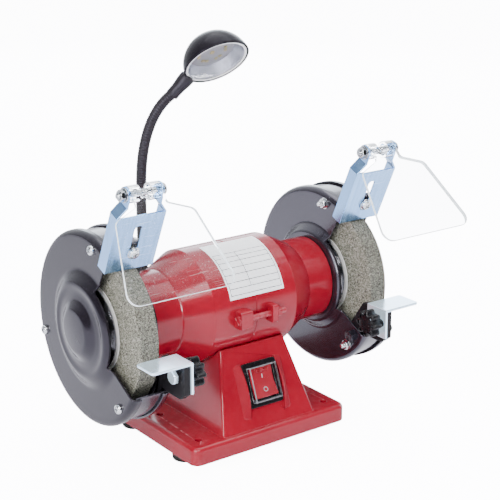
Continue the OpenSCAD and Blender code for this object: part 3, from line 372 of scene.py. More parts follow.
def turning(graph: Graph, values: bpy.types.NodeOutputs, coords: Socket) -> Outputs:
    """Fine rings left by turning about the shaft.

    Args:
        graph: Graph of the group.
        values: Inputs of the group.
        coords: Coordinates of the piece.

    Returns:
        The height.
    """
    offset = graph.vector("SUBTRACT", coords, (0.0, SHAFT_Y * MM, SHAFT_Z * MM)).outputs[0]
    across = graph.vector("MULTIPLY", offset, (0.0, 1.0, 1.0)).outputs[0]
    radius = graph.vector("LENGTH", across).outputs["Value"]
    return (graph.math("SINE", graph.math("DIVIDE", radius, values["Pitch"])),)


def edges(graph: Graph, values: bpy.types.NodeOutputs, coords: Socket) -> Outputs:
    """Rubbed edges and painted edge highlights, from how sharply the surface turns.

    Args:
        graph: Graph of the group.
        values: Inputs of the group.
        coords: Coordinates of the piece.

    Returns:
        The mask.
    """
    turn = graph.span(graph.node("NewGeometry").outputs["Pointiness"], 0.53, 0.6)
    broken = graph.span(graph.grain(coords, 260.0, 4.0), 0.4, 0.6)
    return (graph.times(graph.times(turn, broken), values["Amount"]),)


@dataclass(frozen=True)
class Effect:
    """Surface effect that finishes share as one node group.

    Attributes:
        name: Name of the group.
        fill: Function that fills the group.
        outputs: Names of the outputs; one named Color is a colour.
        inputs: Names of the inputs with their first values; a tuple makes a colour.
    """

    name: str
    fill: Callable[[Graph, bpy.types.NodeOutputs, Socket], Outputs]
    outputs: tuple[str, ...]
    inputs: dict[str, float | Colour]

    def group(self) -> bpy.types.NodeTree:
        """Finds the effect's node group, or builds it at its first use.

        Returns:
            The group.
        """
        if self.name in bpy.data.node_groups:
            return bpy.data.node_groups[self.name]
        tree = bpy.data.node_groups.new(self.name, "ShaderNodeTree")
        for key, value in self.inputs.items():
            kind = "NodeSocketColor" if isinstance(value, tuple) else "NodeSocketFloat"
            socket = tree.interface.new_socket(key, in_out="INPUT", socket_type=kind)
            socket.default_value = (*value, 1.0) if isinstance(value, tuple) else value
        for key in self.outputs:
            kind = "NodeSocketColor" if key == "Color" else "NodeSocketFloat"
            tree.interface.new_socket(key, in_out="OUTPUT", socket_type=kind)
        graph = Graph(tree)
        source = tree.nodes.new("NodeGroupInput")
        sink = tree.nodes.new("NodeGroupOutput")
        coords = graph.node("TexCoord").outputs["Object"]
        for key, value in zip(self.outputs, self.fill(graph, source.outputs, coords)):
            tree.links.new(value, sink.inputs[key])
        return tree


GREY: Colour = (0.5, 0.5, 0.5)
MOTTLE = Effect("Mottle", mottle, ("Color",), {"Scale": 40.0, "Low": GREY, "High": GREY})
DUST = Effect("Settled Dust", dust, ("Mask",), {"Amount": 0.2, "Scale": 160.0})
PEEL = Effect("Peel", peel, ("Height", "Mask"), {"Scale": 900.0})
SCRATCHES = Effect("Scratches", scratches, ("Mask",), {"Scale": 60.0, "Amount": 0.5})
STREAKS = Effect("Rolling Streaks", streaks, ("Value",), {"Scale": 120.0})
GRIT = Effect("Grit", grit, ("Tone", "Height"), {"Scale": 1100.0})
TURNING = Effect("Turning Rings", turning, ("Height",), {"Pitch": 0.0006})
EDGES = Effect("Rubbed Edges", edges, ("Mask",), {"Amount": 0.5})


# Finishes


class Shader(Graph):
    """Node tree of one material around its Principled shader."""

    def __init__(self, name: str) -> None:
        """Starts the material.

        Args:
            name: Name of the material.
        """
        self.material = bpy.data.materials.new(name)
        self.material.use_nodes = True
        super().__init__(self.material.node_tree)
        self.bsdf = next(n for n in self.tree.nodes if n.type == "BSDF_PRINCIPLED")

    def set(self, **values: Value) -> None:
        """Feeds sockets of the Principled shader; an underscore in a name stands for a space."""
        for key, value in values.items():
            self.feed(self.bsdf.inputs[key.replace("_", " ")], value)

    def effect(self, effect: Effect, **values: Value) -> bpy.types.NodeOutputs:
        """Places a shared effect with its own values and gives its outputs."""
        return self.node("Group", values, node_tree=effect.group()).outputs

    def bump(self, height: Socket, strength: float, depth: float) -> None:
        """Feeds a height into the shader's normal."""
        node = self.node("Bump", {"Height": height, "Strength": strength, "Distance": depth})
        self.set(Normal=node.outputs["Normal"])


@dataclass(frozen=True)
class Finish:
    """Look of a surface. Each finish makes its material once."""

    name: str
    slot: str
    made: ClassVar[dict[str, bpy.types.Material]] = {}

    def material(self) -> bpy.types.Material:
        """Finds the finish's material, or makes it at its first use.

        Returns:
            The material.
        """
        if self.name not in self.made:
            shader = Shader(self.name)
            self.dress(shader)
            self.made[self.name] = shader.material
        return self.made[self.name]

    def dress(self, shader: Shader) -> None:
        """Fills in the material's nodes."""
        raise NotImplementedError


@dataclass(frozen=True)
class Enamel(Finish):
    """Sprayed gloss paint over metal, with orange peel, dust and rubbed edges, which a bright edge colour
    lightens as painted highlight.
    """

    low: Colour
    high: Colour
    worn: Colour
    rough: float
    peel_scale: float
    peel_depth: float
    dust: float
    coat: float
    shine: float
    gleam: Colour = WHITE
    dust_tint: ClassVar[Colour] = (0.72, 0.66, 0.64)
    dulled: ClassVar[float] = 0.3

    def dress(self, shader: Shader) -> None:
        """Mottles, dusts and rubs the paint; a bright edge colour paints highlights along the edges.

        Args:
            shader: Node tree of the material.
        """
        tone = shader.effect(MOTTLE, Scale=28.0, Low=self.low, High=self.high)["Color"]
        # Edges take the edge colour: wear, and painted highlight where that colour is bright.
        rubbed_and_lit = shader.mix(shader.effect(EDGES, Amount=0.45)["Mask"], tone, self.worn)
        specks = shader.effect(DUST, Amount=self.dust, Scale=220.0)["Mask"]
        marks = shader.effect(SCRATCHES, Scale=26.0, Amount=0.06)["Mask"]
        dull = shader.spread(shader.add(specks, marks), self.rough, self.rough + self.dulled)
        shader.set(Base_Color=shader.mix(specks, rubbed_and_lit, self.dust_tint), Roughness=dull,
                   Coat_Weight=self.coat, Coat_Roughness=0.06, Specular_IOR_Level=self.shine,
                   Specular_Tint=self.gleam)
        skin = shader.effect(PEEL, Scale=self.peel_scale)["Height"]
        shader.bump(skin, strength=0.35, depth=self.peel_depth)


@dataclass(frozen=True)
class Plated(Finish):
    """Plated or turned metal."""

    low: Colour
    high: Colour
    rough: float
    streak_scale: float = 60.0
    turned: bool = False
    # Painted light: glow lights the metal with its light tone, 0 for none.
    glow: float = 0.0

    def dress(self, shader: Shader) -> None:
        """Streaks and scratches the metal, or gives it fine turning rings, and paints a glow of its light
        tone where glow is set.

        Args:
            shader: Node tree of the material.
        """
        lines = shader.effect(STREAKS, Scale=self.streak_scale)["Value"]
        marks = shader.effect(SCRATCHES, Scale=40.0, Amount=0.35)["Mask"]
        base = shader.mix(marks, shader.mix(lines, self.low, self.high), tuple(0.6 * c for c in self.low))
        if self.turned:
            rings = shader.effect(TURNING, Pitch=0.00011)["Height"]
            shader.bump(rings, strength=0.25, depth=0.00003)
        else:
            shader.bump(lines, strength=0.12, depth=0.00005)
        shader.set(Base_Color=base, Roughness=shader.spread(lines, self.rough * 0.75, self.rough * 1.35),
                   Metallic=1.0, Emission_Color=self.high, Emission_Strength=self.glow)


@dataclass(frozen=True)
class Stone(Finish):
    """Bonded abrasive wheel."""

    dark: Colour
    mid: Colour
    light: Colour

    def dress(self, shader: Shader) -> None:
        """Mixes coarse and fine grains with pores between them.

        Args:
            shader: Node tree of the material.
        """
        coarse = shader.effect(GRIT, Scale=1500.0)
        fine = shader.effect(GRIT, Scale=2100.0)
        slow = shader.effect(MOTTLE, Scale=55.0, Low=self.mid, High=tuple(1.14 * c for c in self.mid))
        specks = shader.mix(shader.spread(fine["Tone"], -0.75, 1.25), slow["Color"], self.light)
        pores = shader.spread(coarse["Tone"], -0.95, 1.15)
        shader.set(Base_Color=shader.mix(pores, specks, self.dark), Roughness=0.92, Specular_IOR_Level=0.25)
        shader.bump(shader.add(coarse["Height"], fine["Tone"]), strength=0.7, depth=0.00014)


@dataclass(frozen=True)
class Moulded(Finish):
    """Moulded plastic or rubber with a fine pebble."""

    low: Colour
    high: Colour
    rough: float
    pebble: float
    depth: float
    dust: float
    dust_tint: ClassVar[Colour] = (0.55, 0.53, 0.5)

    def dress(self, shader: Shader) -> None:
        """Pebbles the plastic and dusts it a little.

        Args:
            shader: Node tree of the material.
        """
        tone = shader.effect(MOTTLE, Scale=90.0, Low=self.low, High=self.high)["Color"]
        specks = shader.effect(DUST, Amount=self.dust, Scale=260.0)["Mask"]
        skin = shader.effect(PEEL, Scale=self.pebble)
        shader.set(Base_Color=shader.mix(specks, tone, self.dust_tint), Specular_IOR_Level=0.25,
                   Roughness=shader.spread(skin["Mask"], self.rough * 0.85, self.rough * 1.2))
        shader.bump(skin["Height"], strength=0.4, depth=self.depth)


@dataclass(frozen=True)
class Clear(Finish):
    """Clear polycarbonate with handling scratches and specks of dust; its scratches can glow as painted
    highlight.
    """

    tint: Colour = (0.97, 0.985, 0.99)
    ior: float = 1.2
    scuff: float = 0.0
    polish: ClassVar[Point2] = (0.015, 0.055)
    shaded: ClassVar[Colour] = (0.03, 0.03, 0.03)

    def dress(self, shader: Shader) -> None:
        """Hazes the sheet where it is scratched, and paints glinting light on the scratches with a faint glow
        over the rest.

        Args:
            shader: Node tree of the material.
        """
        marks = shader.effect(SCRATCHES, Scale=34.0, Amount=0.5)["Mask"]
        specks = shader.effect(DUST, Amount=0.5, Scale=420.0)["Mask"]
        shader.set(Base_Color=self.tint, Roughness=shader.spread(shader.add(marks, specks), *self.polish),
                   Transmission_Weight=1.0, IOR=self.ior, Metallic=0.0)
        if self.scuff > 0:
            # Painted highlight: scratches glow white and the rest of the sheet glows faintly.
            glinting_scuffs = shader.effect(SCRATCHES, Scale=75.0, Amount=1.0)["Mask"]
            shader.set(Emission_Color=shader.mix(glinting_scuffs, self.shaded, WHITE), Emission_Strength=self.scuff)


@dataclass(frozen=True)
class Edge(Finish):
    """Sawn edge of clear sheet, painted bright with its tint and an emitted glow as a highlight, standing in
    for the light that the sheet gathers.
    """

    tint: Colour = (0.86, 0.93, 0.96)
    glow: float = 0.6

    def dress(self, shader: Shader) -> None:
        """Frosts the edge with faint saw marks and paints its glow.

        Args:
            shader: Node tree of the material.
        """
        dull = shader.spread(shader.effect(PEEL, Scale=1400.0)["Mask"], 0.3, 0.5)
        shader.set(Base_Color=self.tint, Roughness=dull, Emission_Color=self.tint,
                   Emission_Strength=self.glow)


@dataclass(frozen=True)
class Film(Finish):
    """Paper, label film or a painted board."""

    low: Colour
    high: Colour
    rough: float
    fibre: float = 1800.0
    # Painted light: glow lights the film with its light tone, 0 for none.
    glow: float = 0.0

    def dress(self, shader: Shader) -> None:
        """Makes a faintly uneven tone with a fibre bump, and paints a glow of its light tone where glow is
        set.

        Args:
            shader: Node tree of the material.
        """
        tone = shader.effect(MOTTLE, Scale=70.0, Low=self.low, High=self.high)["Color"]
        skin = shader.effect(PEEL, Scale=self.fibre)
        shader.set(Base_Color=tone, Roughness=shader.spread(skin["Mask"], self.rough * 0.9, self.rough * 1.1),
                   Emission_Color=self.high, Emission_Strength=self.glow)
        shader.bump(skin["Height"], strength=0.2, depth=0.00003)


COOL_GLEAM: Colour = (0.84, 0.81, 1.0)
# The red enamel's pale pink edge colour is painted highlight along the casting's edges.
RED_ENAMEL = Enamel("red enamel", "red_paint", (0.27, 0.0055, 0.017), (0.3, 0.007, 0.02), (0.8, 0.3, 0.33),
                    0.16, 500.0, 0.00002, 0.025, 0.04, 0.36)
# The housing keeps a dark red edge colour: wear, with no painted highlight.
HOUSING_RED = replace(RED_ENAMEL, name="housing red", worn=(0.42, 0.03, 0.05))
CHEEK_RED = Enamel("dull red", "red_paint", (0.25, 0.006, 0.017), (0.28, 0.007, 0.02), (0.4, 0.03, 0.05),
                   0.6, 500.0, 0.00002, 0.02, 0.0, 0.12)
BLACK_ENAMEL = Enamel("black enamel", "black_paint", (0.0075, 0.006, 0.009), (0.0105, 0.0085, 0.012),
                      (0.1, 0.1, 0.11), 0.2, 900.0, 0.00002, 0.02, 0.12, 0.34, COOL_GLEAM)
PLATE_BLACK = Enamel("plate black", "black_paint", (0.0085, 0.0065, 0.0105), (0.012, 0.0095, 0.014),
                     (0.1, 0.1, 0.11), 0.22, 900.0, 0.00002, 0.02, 0.3, 0.78, COOL_GLEAM)
ARM_BLACK = Enamel("arm black", "black_paint", (0.005, 0.0045, 0.006), (0.008, 0.007, 0.009),
                   (0.05, 0.05, 0.05), 0.45, 900.0, 0.00002, 0.02, 0.0, 0.2)
LAMP_BLACK = Enamel("lamp black", "black_paint", (0.006, 0.005, 0.007), (0.009, 0.0075, 0.0105),
                    (0.05, 0.05, 0.05), 0.22, 1300.0, 0.00003, 0.01, 0.0, 0.14, COOL_GLEAM)
NECK_BLACK = Enamel("gooseneck black", "black_paint", (0.014, 0.012, 0.014), (0.02, 0.017, 0.02),
                    (0.08, 0.08, 0.08), 0.36, 1300.0, 0.00003, 0.03, 0.0, 0.3, COOL_GLEAM)
ZINC = Plated("bluish zinc", "zinc", (0.25, 0.45, 0.79), (0.37, 0.61, 0.97), 0.2)
# The rests and their bolts glow a little: painted highlight that lightens the zinc.
GLOWING_REST_ZINC = Plated("rest zinc", "zinc", (0.62, 0.8, 1.0), (0.72, 0.88, 1.0), 0.2, 20.0, False, 0.7)
SCREW_ZINC = Plated("screw zinc", "zinc", (0.62, 0.64, 0.66), (0.8, 0.82, 0.84), 0.16, 200.0)
PIN_ZINC = Plated("pin zinc", "zinc", (0.4, 0.42, 0.45), (0.56, 0.58, 0.61), 0.14, 200.0)
PLAIN_STEEL = Plated("plain steel", "steel", (0.36, 0.36, 0.38), (0.5, 0.5, 0.52), 0.3, 120.0)
BRIGHT_CHROME = Plated("bright chrome", "chrome", (0.72, 0.73, 0.75), (0.84, 0.85, 0.87), 0.12, 90.0, True)
FLANGE_STEEL = Plated("flange steel", "steel", (0.26, 0.26, 0.28), (0.4, 0.4, 0.42), 0.18, 90.0)
COPPER_WIRE = Plated("copper wire", "copper", (0.4, 0.17, 0.07), (0.62, 0.3, 0.14), 0.3, 300.0)
REFLECTOR = Plated("satin reflector", "reflector", (0.17, 0.18, 0.215), (0.24, 0.25, 0.29), 0.42, 160.0)
GRIT_STONE = Stone("grit stone", "stone", (0.048, 0.045, 0.034), (0.16, 0.157, 0.119), (0.47, 0.455, 0.39))
# Darker stone for the wheel's rim: painted shade.
SHADED_RIM_STONE = Stone("rim stone", "stone", (0.04, 0.037, 0.029), (0.118, 0.115, 0.088), (0.345, 0.335, 0.285))
BLACK_RUBBER = Moulded("black rubber", "rubber", (0.012, 0.012, 0.012), (0.02, 0.02, 0.02), 0.65, 1100.0,
                       0.00006, 0.06)
BLACK_PLASTIC = Moulded("black plastic", "black_plastic", (0.004, 0.0035, 0.0045), (0.006, 0.0055, 0.007),
                        0.28, 1500.0, 0.00004, 0.02)
RED_PLASTIC = Moulded("red plastic", "red_plastic", (0.5, 0.024, 0.044), (0.57, 0.032, 0.052), 0.16, 900.0,
                      0.00001, 0.03)
# The eye shields' scratches glow: painted highlight.
CLEAR_SHEET = Clear("clear sheet", "clear_plastic", scuff=0.3)
# Glowing edge of the eye shields: painted highlight.
CLEAR_EDGE_GLOW = Edge("clear edge", "clear_plastic")
# Opaque pale grey without glow: painted highlight lines on the switch cover's rounded edges.
COVER_EDGE_HIGHLIGHT = Edge("cover edge", "clear_plastic", (0.4, 0.4, 0.43), 0.0)
CLEAR_COVER = Clear("clear cover", "clear_plastic", (0.97, 0.97, 0.97), 1.4)
# The label, and the lens ring that shares its film, glow a little: painted light that brightens the white.
GLOWING_LABEL_FILM = Film("label film", "label", (0.93, 0.93, 0.95), (0.96, 0.96, 0.98), 0.42, 900.0, 0.3)
BLOTTER_PAPER = Film("blotter paper", "blotter", (0.74, 0.73, 0.7), (0.84, 0.83, 0.81), 0.8)
BOARD_WHITE = Film("board white", "led_white", (0.42, 0.425, 0.46), (0.5, 0.505, 0.54), 0.4, 700.0)
CHIP_YELLOW = Film("chip yellow", "led_white", (0.55, 0.47, 0.22), (0.68, 0.6, 0.34), 0.3, 2500.0)
MARK_WHITE = Film("mark white", "label", (0.72, 0.7, 0.7), (0.8, 0.78, 0.78), 0.4)
LABEL_INK = Film("label ink", "label", (0.045, 0.045, 0.05), (0.07, 0.07, 0.075), 0.5)


# Mesh building


@dataclass
class Piece:
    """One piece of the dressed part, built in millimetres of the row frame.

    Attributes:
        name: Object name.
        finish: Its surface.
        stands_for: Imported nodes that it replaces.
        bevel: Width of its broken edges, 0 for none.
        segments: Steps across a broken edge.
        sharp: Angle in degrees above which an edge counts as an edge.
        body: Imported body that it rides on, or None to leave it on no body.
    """

    name: str
    finish: Finish
    stands_for: tuple[str, ...] = ()
    bevel: float = 0.3
    segments: int = 2
    sharp: float = 32.0
    body: str | None = Body.FRAME.value
    bm: bmesh.types.BMesh = field(default_factory=bmesh.new)

    def weld(self, distance: float) -> None:
        """Joins points that lie closer than a distance."""
        bmesh.ops.remove_doubles(self.bm, verts=self.bm.verts, dist=distance)

    def face(self, points: Sequence[Vector]) -> None:
        """Adds one face with its own points."""
        self.bm.faces.new([self.bm.verts.new(p) for p in points])

    def grid(self, rows: Sequence[Sequence[Vector]], wrap: bool = False) -> None:
        """Skins rows of points with quads.

        Args:
            rows: Rows with equal numbers of points.
            wrap: Whether each row closes on itself.
        """
        verts = [[self.bm.verts.new(p) for p in row] for row in rows]
        for lower, upper in zip(verts, verts[1:]):
            n = len(lower)
            for k in range(n if wrap else n - 1):
                j = (k + 1) % n
                self.bm.faces.new((lower[k], lower[j], upper[j], upper[k]))

    def lathe(self, profile: Sequence[Point2], matrix: Matrix, steps: int = 64,
              shape: Callable[[float], float] = lambda a: 1.0) -> None:
        """Turns a profile of (radius, height) about the local Z axis.

        Args:
            profile: Points from one end to the other; an end on the axis is closed by a fan.
            matrix: Placing of the local axes.
            steps: Steps round the axis.
            shape: Factor on the radius at an angle, for lobed pieces.
        """
        angles = [2 * math.pi * k / steps for k in range(steps)]
        rows: list[list[bmesh.types.BMVert]] = []
        for r, h in profile:
            if r < 1e-6:
                rows.append([self.bm.verts.new(matrix @ Vector((0, 0, h)))])
                continue
            reach = [r * shape(a) for a in angles]
            rows.append([self.bm.verts.new(matrix @ Vector((f * math.cos(a), f * math.sin(a), h)))
                         for f, a in zip(reach, angles)])
        for lower, upper in zip(rows, rows[1:]):
            for k in range(steps):
                j = (k + 1) % steps
                if len(lower) == 1:
                    self.bm.faces.new((lower[0], upper[j], upper[k]))
                elif len(upper) == 1:
                    self.bm.faces.new((lower[k], lower[j], upper[0]))
                else:
                    self.bm.faces.new((lower[k], lower[j], upper[j], upper[k]))

    def ring(self, profile: Sequence[Point2], matrix: Matrix, steps: int = 64) -> None:
        """Turns a closed profile of (radius, height) that stays off the axis."""
        self.lathe([*profile, profile[0]], matrix, steps)
        self.weld(FINE_WELD)

    def washer(self, r: Point2, h: Point2, matrix: Matrix, steps: int = 40) -> None:
        """Adds a flat ring between two radii and two heights."""
        self.ring([(r[0], h[0]), (r[1], h[0]), (r[1], h[1]), (r[0], h[1])], matrix, steps)

    def prism(self, outline: Sequence[Point2], low: float, high: float, matrix: Matrix) -> None:
        """Extrudes an outline along local Z.

        Args:
            outline: Corners in order.
            low: First height.
            high: Last height.
            matrix: Placing of the local axes.
        """
        bottom, top = ([self.bm.verts.new(matrix @ Vector((x, y, h))) for x, y in outline]
                       for h in (low, high))
        self.bm.faces.new(list(reversed(bottom)))
        self.bm.faces.new(top)
        for k, low_vert in enumerate(bottom):
            j = (k + 1) % len(outline)
            self.bm.faces.new((low_vert, bottom[j], top[j], top[k]))

    def mesh(self, source: bpy.types.Mesh, matrix: Matrix, clean: bool = False) -> None:
        """Adds a copy of a mesh.

        Args:
            source: Mesh that is copied.
            matrix: Placing of the copy.
            clean: Whether doubled points and the edges inside flat faces go.
        """
        extra = bmesh.new()
        extra.from_mesh(source)
        if clean:
            bmesh.ops.remove_doubles(extra, verts=extra.verts, dist=2e-6)
        extra.transform(matrix)
        if clean:
            flat = math.radians(0.4)
            bmesh.ops.dissolve_limit(extra, angle_limit=flat, verts=extra.verts, edges=extra.edges)
        scratch = bpy.data.meshes.new("scratch")
        extra.to_mesh(scratch)
        extra.free()
        self.bm.from_mesh(scratch)
        bpy.data.meshes.remove(scratch)

    def node(self, name: str) -> None:
        """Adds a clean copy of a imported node's mesh, in millimetres."""
        self.mesh(bpy.data.objects[name].data, Matrix.Scale(1 / MM, 4), True)

    def done(self, recalc: bool = True) -> bpy.types.Object:
        """Stores the piece, breaks its edges, dresses it and puts it on its body.

        Args:
            recalc: Whether face directions are worked out again.

        Returns:
            The finished object.
        """
        if recalc:
            bmesh.ops.recalc_face_normals(self.bm, faces=self.bm.faces)
        for face in self.bm.faces:
            face.smooth = True
        self.bm.transform(Matrix.Scale(MM, 4))
        mesh = bpy.data.meshes.new(self.name)
        self.bm.to_mesh(mesh)
        self.bm.free()
        mesh.set_sharp_from_angle(angle=math.radians(self.sharp))
        piece = bpy.data.objects.new(self.name, mesh)
        bpy.context.scene.collection.objects.link(piece)
        if self.bevel > 0:
            self.break_edges(piece)
        piece.data.materials.clear()
        piece.data.materials.append(self.finish.material())
        if self.body is not None:
            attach(piece, self.body)
        if self.stands_for:
            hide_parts(*self.stands_for)
        log.info("%s: %d faces", self.name, len(piece.data.polygons))
        return piece

    def break_edges(self, piece: bpy.types.Object) -> None:
        """Bevels the sharp edges of the stored object.

        Args:
            piece: Object that is bevelled.
        """
        edge = piece.modifiers.new("edges", "BEVEL")
        edge.limit_method = "ANGLE"
        edge.angle_limit = math.radians(self.sharp)
        edge.width = self.bevel * MM
        edge.segments = self.segments
        edge.use_clamp_overlap = False
        flat = piece.modifiers.new("flats", "WEIGHTED_NORMAL")
        flat.keep_sharp = True
        old, baked = piece.data, evaluated(piece)
        piece.modifiers.clear()
        piece.data = baked
        bpy.data.meshes.remove(old)
        baked.name = piece.name


def evaluated(item: bpy.types.Object) -> bpy.types.Mesh:
    """New mesh of an object with its modifiers applied."""
    graph = bpy.context.evaluated_depsgraph_get()
    return bpy.data.meshes.new_from_object(item.evaluated_get(graph))


def carved(body: bpy.types.Mesh, cutter: bpy.types.Mesh) -> bpy.types.Mesh:
    """Cuts one mesh out of another.

    Args:
        body: Mesh that is cut.
        cutter: Mesh that is taken away.

    Returns:
        The cut mesh.
    """
    items = [bpy.data.objects.new("carve", mesh) for mesh in (body, cutter)]
    for item in items:
        bpy.context.scene.collection.objects.link(item)
    cut = items[0].modifiers.new("cut", "BOOLEAN")
    cut.operation = "DIFFERENCE"
    cut.solver = "EXACT"
    cut.object = items[1]
    result = evaluated(items[0])
    for item, mesh in zip(items, (body, cutter)):
        bpy.data.objects.remove(item)
        bpy.data.meshes.remove(mesh)
    return result


def copied(name: str, finish: Finish, node: str, bevel: float, segments: int = 2, sharp: float = 32.0,
           body: str = Body.FRAME.value) -> bpy.types.Object:
    """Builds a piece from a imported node's own mesh, with broken edges.

    Args:
        name: Object name.
        finish: Its surface.
        node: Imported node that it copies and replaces.
        bevel: Width of its broken edges.
        segments: Steps across a broken edge.
        sharp: Angle in degrees above which an edge counts as an edge.
        body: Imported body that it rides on.

    Returns:
        The finished object.
    """
    piece = Piece(name, finish, (node,), bevel, segments, sharp, body)
    piece.node(node)
    return piece.done()


def carried(**finishes: Finish) -> None:
    """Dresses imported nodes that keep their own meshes.

    Args:
        finishes: Finish of each node by its name.
    """
    for name, finish in finishes.items():
        node = bpy.data.objects[name]
        node.data.materials.clear()
        node.data.materials.append(finish.material())
        log.info("%s: kept with %s", name, finish.name)


def tipped(piece: bpy.types.Object, finish: Finish, chosen: Callable[[bpy.types.MeshPolygon], bool]) -> None:
    """Gives some faces of a piece a second finish.

    Args:
        piece: Finished object.
        finish: Second surface.
        chosen: Whether a face takes it.
    """
    piece.data.materials.append(finish.material())
    for face in piece.data.polygons:
        if chosen(face):
            face.material_index = 1


# Fasteners


class Fasteners:
    """Screws, bolts and nuts, each along local +Z with the underside of its head at zero."""

    heads: ClassVar[dict[float, bpy.types.Mesh]] = {}

    @staticmethod
    def stored(piece: Piece) -> bpy.types.Mesh:
        """Turns a loose piece into a mesh in millimetres.

        Args:
            piece: Piece that is used up.

        Returns:
            The mesh.
        """
        bmesh.ops.recalc_face_normals(piece.bm, faces=piece.bm.faces)
        mesh = bpy.data.meshes.new(piece.name)
        piece.bm.to_mesh(mesh)
        piece.bm.free()
        return mesh

    @classmethod
    def pan_head(cls, r: float, h: float) -> bpy.types.Mesh:
        """Pan head with a cross recess, made once for each radius.

        Args:
            r: Radius of the head.
            h: Height of the head.

        Returns:
            The head's mesh, rising along -Z from zero.
        """
        if r not in cls.heads:
            head, cross = (Piece(name, SCREW_ZINC) for name in ("head", "cross"))
            shares = ((1.0, 0.0), (1.0, 0.35), (0.96, 0.6), (0.84, 0.82), (0.62, 0.95), (0.3, 1.0),
                      (0.0, 1.01))
            head.lathe([(0.0, 0.0), *((p * r, -q * h) for p, q in shares)], Matrix(), 32)
            w, reach = 0.16 * r, 0.56 * r
            arm, outline = [(w, w), (w, reach), (-w, reach)], []
            for _ in range(4):
                outline += arm
                arm = [(-y, x) for x, y in arm]
            cross.prism(outline, -1.3 * h, -0.5 * h, Matrix())
            cls.heads[r] = carved(cls.stored(head), cls.stored(cross))
        return cls.heads[r]

    @staticmethod
    def shank(piece: Piece, matrix: Matrix, r: float, length: float, plain: float, pitch: float) -> None:
        """Adds a shank that is plain at first and threaded to its chamfered tip.

        Args:
            piece: Piece that takes it.
            matrix: Placing of the local axes.
            r: Radius over the thread.
            length: Length of the shank.
            plain: Length without thread.
            pitch: Pitch of the thread.
        """
        end, root = length - 0.6, r * 0.86
        n = max(1, round((end - plain) / pitch))
        step = (end - plain) / n
        teeth = [p for i in range(n) for p in ((root, plain + step * i), (r, plain + step * (i + 0.5)))]
        tip = [(root, end), (r * 0.7, length), (0.0, length)]
        piece.lathe([(0.0, -0.2), (r, -0.2), (r, plain), *teeth, *tip], matrix, 24)

    @classmethod
    def pan_screw(cls, piece: Piece, matrix: Matrix, size: Point2, head: Point2, turn: float = 0.0) -> None:
        """Adds a cross-recess pan screw, turned as a fitter would leave it.

        Args:
            piece: Piece that takes it.
            matrix: Placing of the local axes.
            size: Radius and length of the shank.
            head: Radius and height of the head.
            turn: Turn of the recess in degrees.
        """
        piece.mesh(cls.pan_head(*head), matrix @ turned(turn, "Z"))
        cls.shank(piece, matrix, *size, size[1] * 0.35, 0.7)

    @staticmethod
    def hexagon(piece: Piece, matrix: Matrix, flats: float, low: float, high: float, bore: float = 0.0,
                turn: float = 0.0, both: bool = False) -> None:
        """Adds a hexagon with a chamfered face at its high end.

        Args:
            piece: Piece that takes it.
            matrix: Placing of the local axes.
            flats: Width across the flats.
            low: Height of the plain face.
            high: Height of the chamfered face.
            bore: Radius of a threaded hole, 0 for a solid head.
            turn: Turn about the axis in degrees.
            both: Whether both faces are chamfered.
        """
        reach, flat = flats / math.sqrt(3), 0.46 * flats
        edge = math.copysign(0.1 * flats, high - low)
        inner = bore if bore > 0 else 0.01
        levels = [(inner, low, 0.0), (reach, low, -edge if both else 0.0), (reach, high, edge),
                  (flat, high, 0.0), (inner, high, 0.0)]
        if both:
            levels.insert(1, (flat, low, 0.0))
        rows = []
        for r, h, drop in levels:
            row = []
            for a in (2 * math.pi * k / 48 for k in range(48)):
                b = (a - math.radians(turn)) % (math.pi / 3) - math.pi / 6
                f = r if r < reach else flats / 2 / math.cos(b)
                fall = drop * max(0.0, f - flat) / (reach - flat)
                row.append(matrix @ Vector((f * math.cos(a), f * math.sin(a), h - fall)))
            rows.append(row)
        piece.grid([*rows, rows[0]] if bore > 0 else rows, wrap=True)
        piece.weld(COARSE_WELD)


# Base


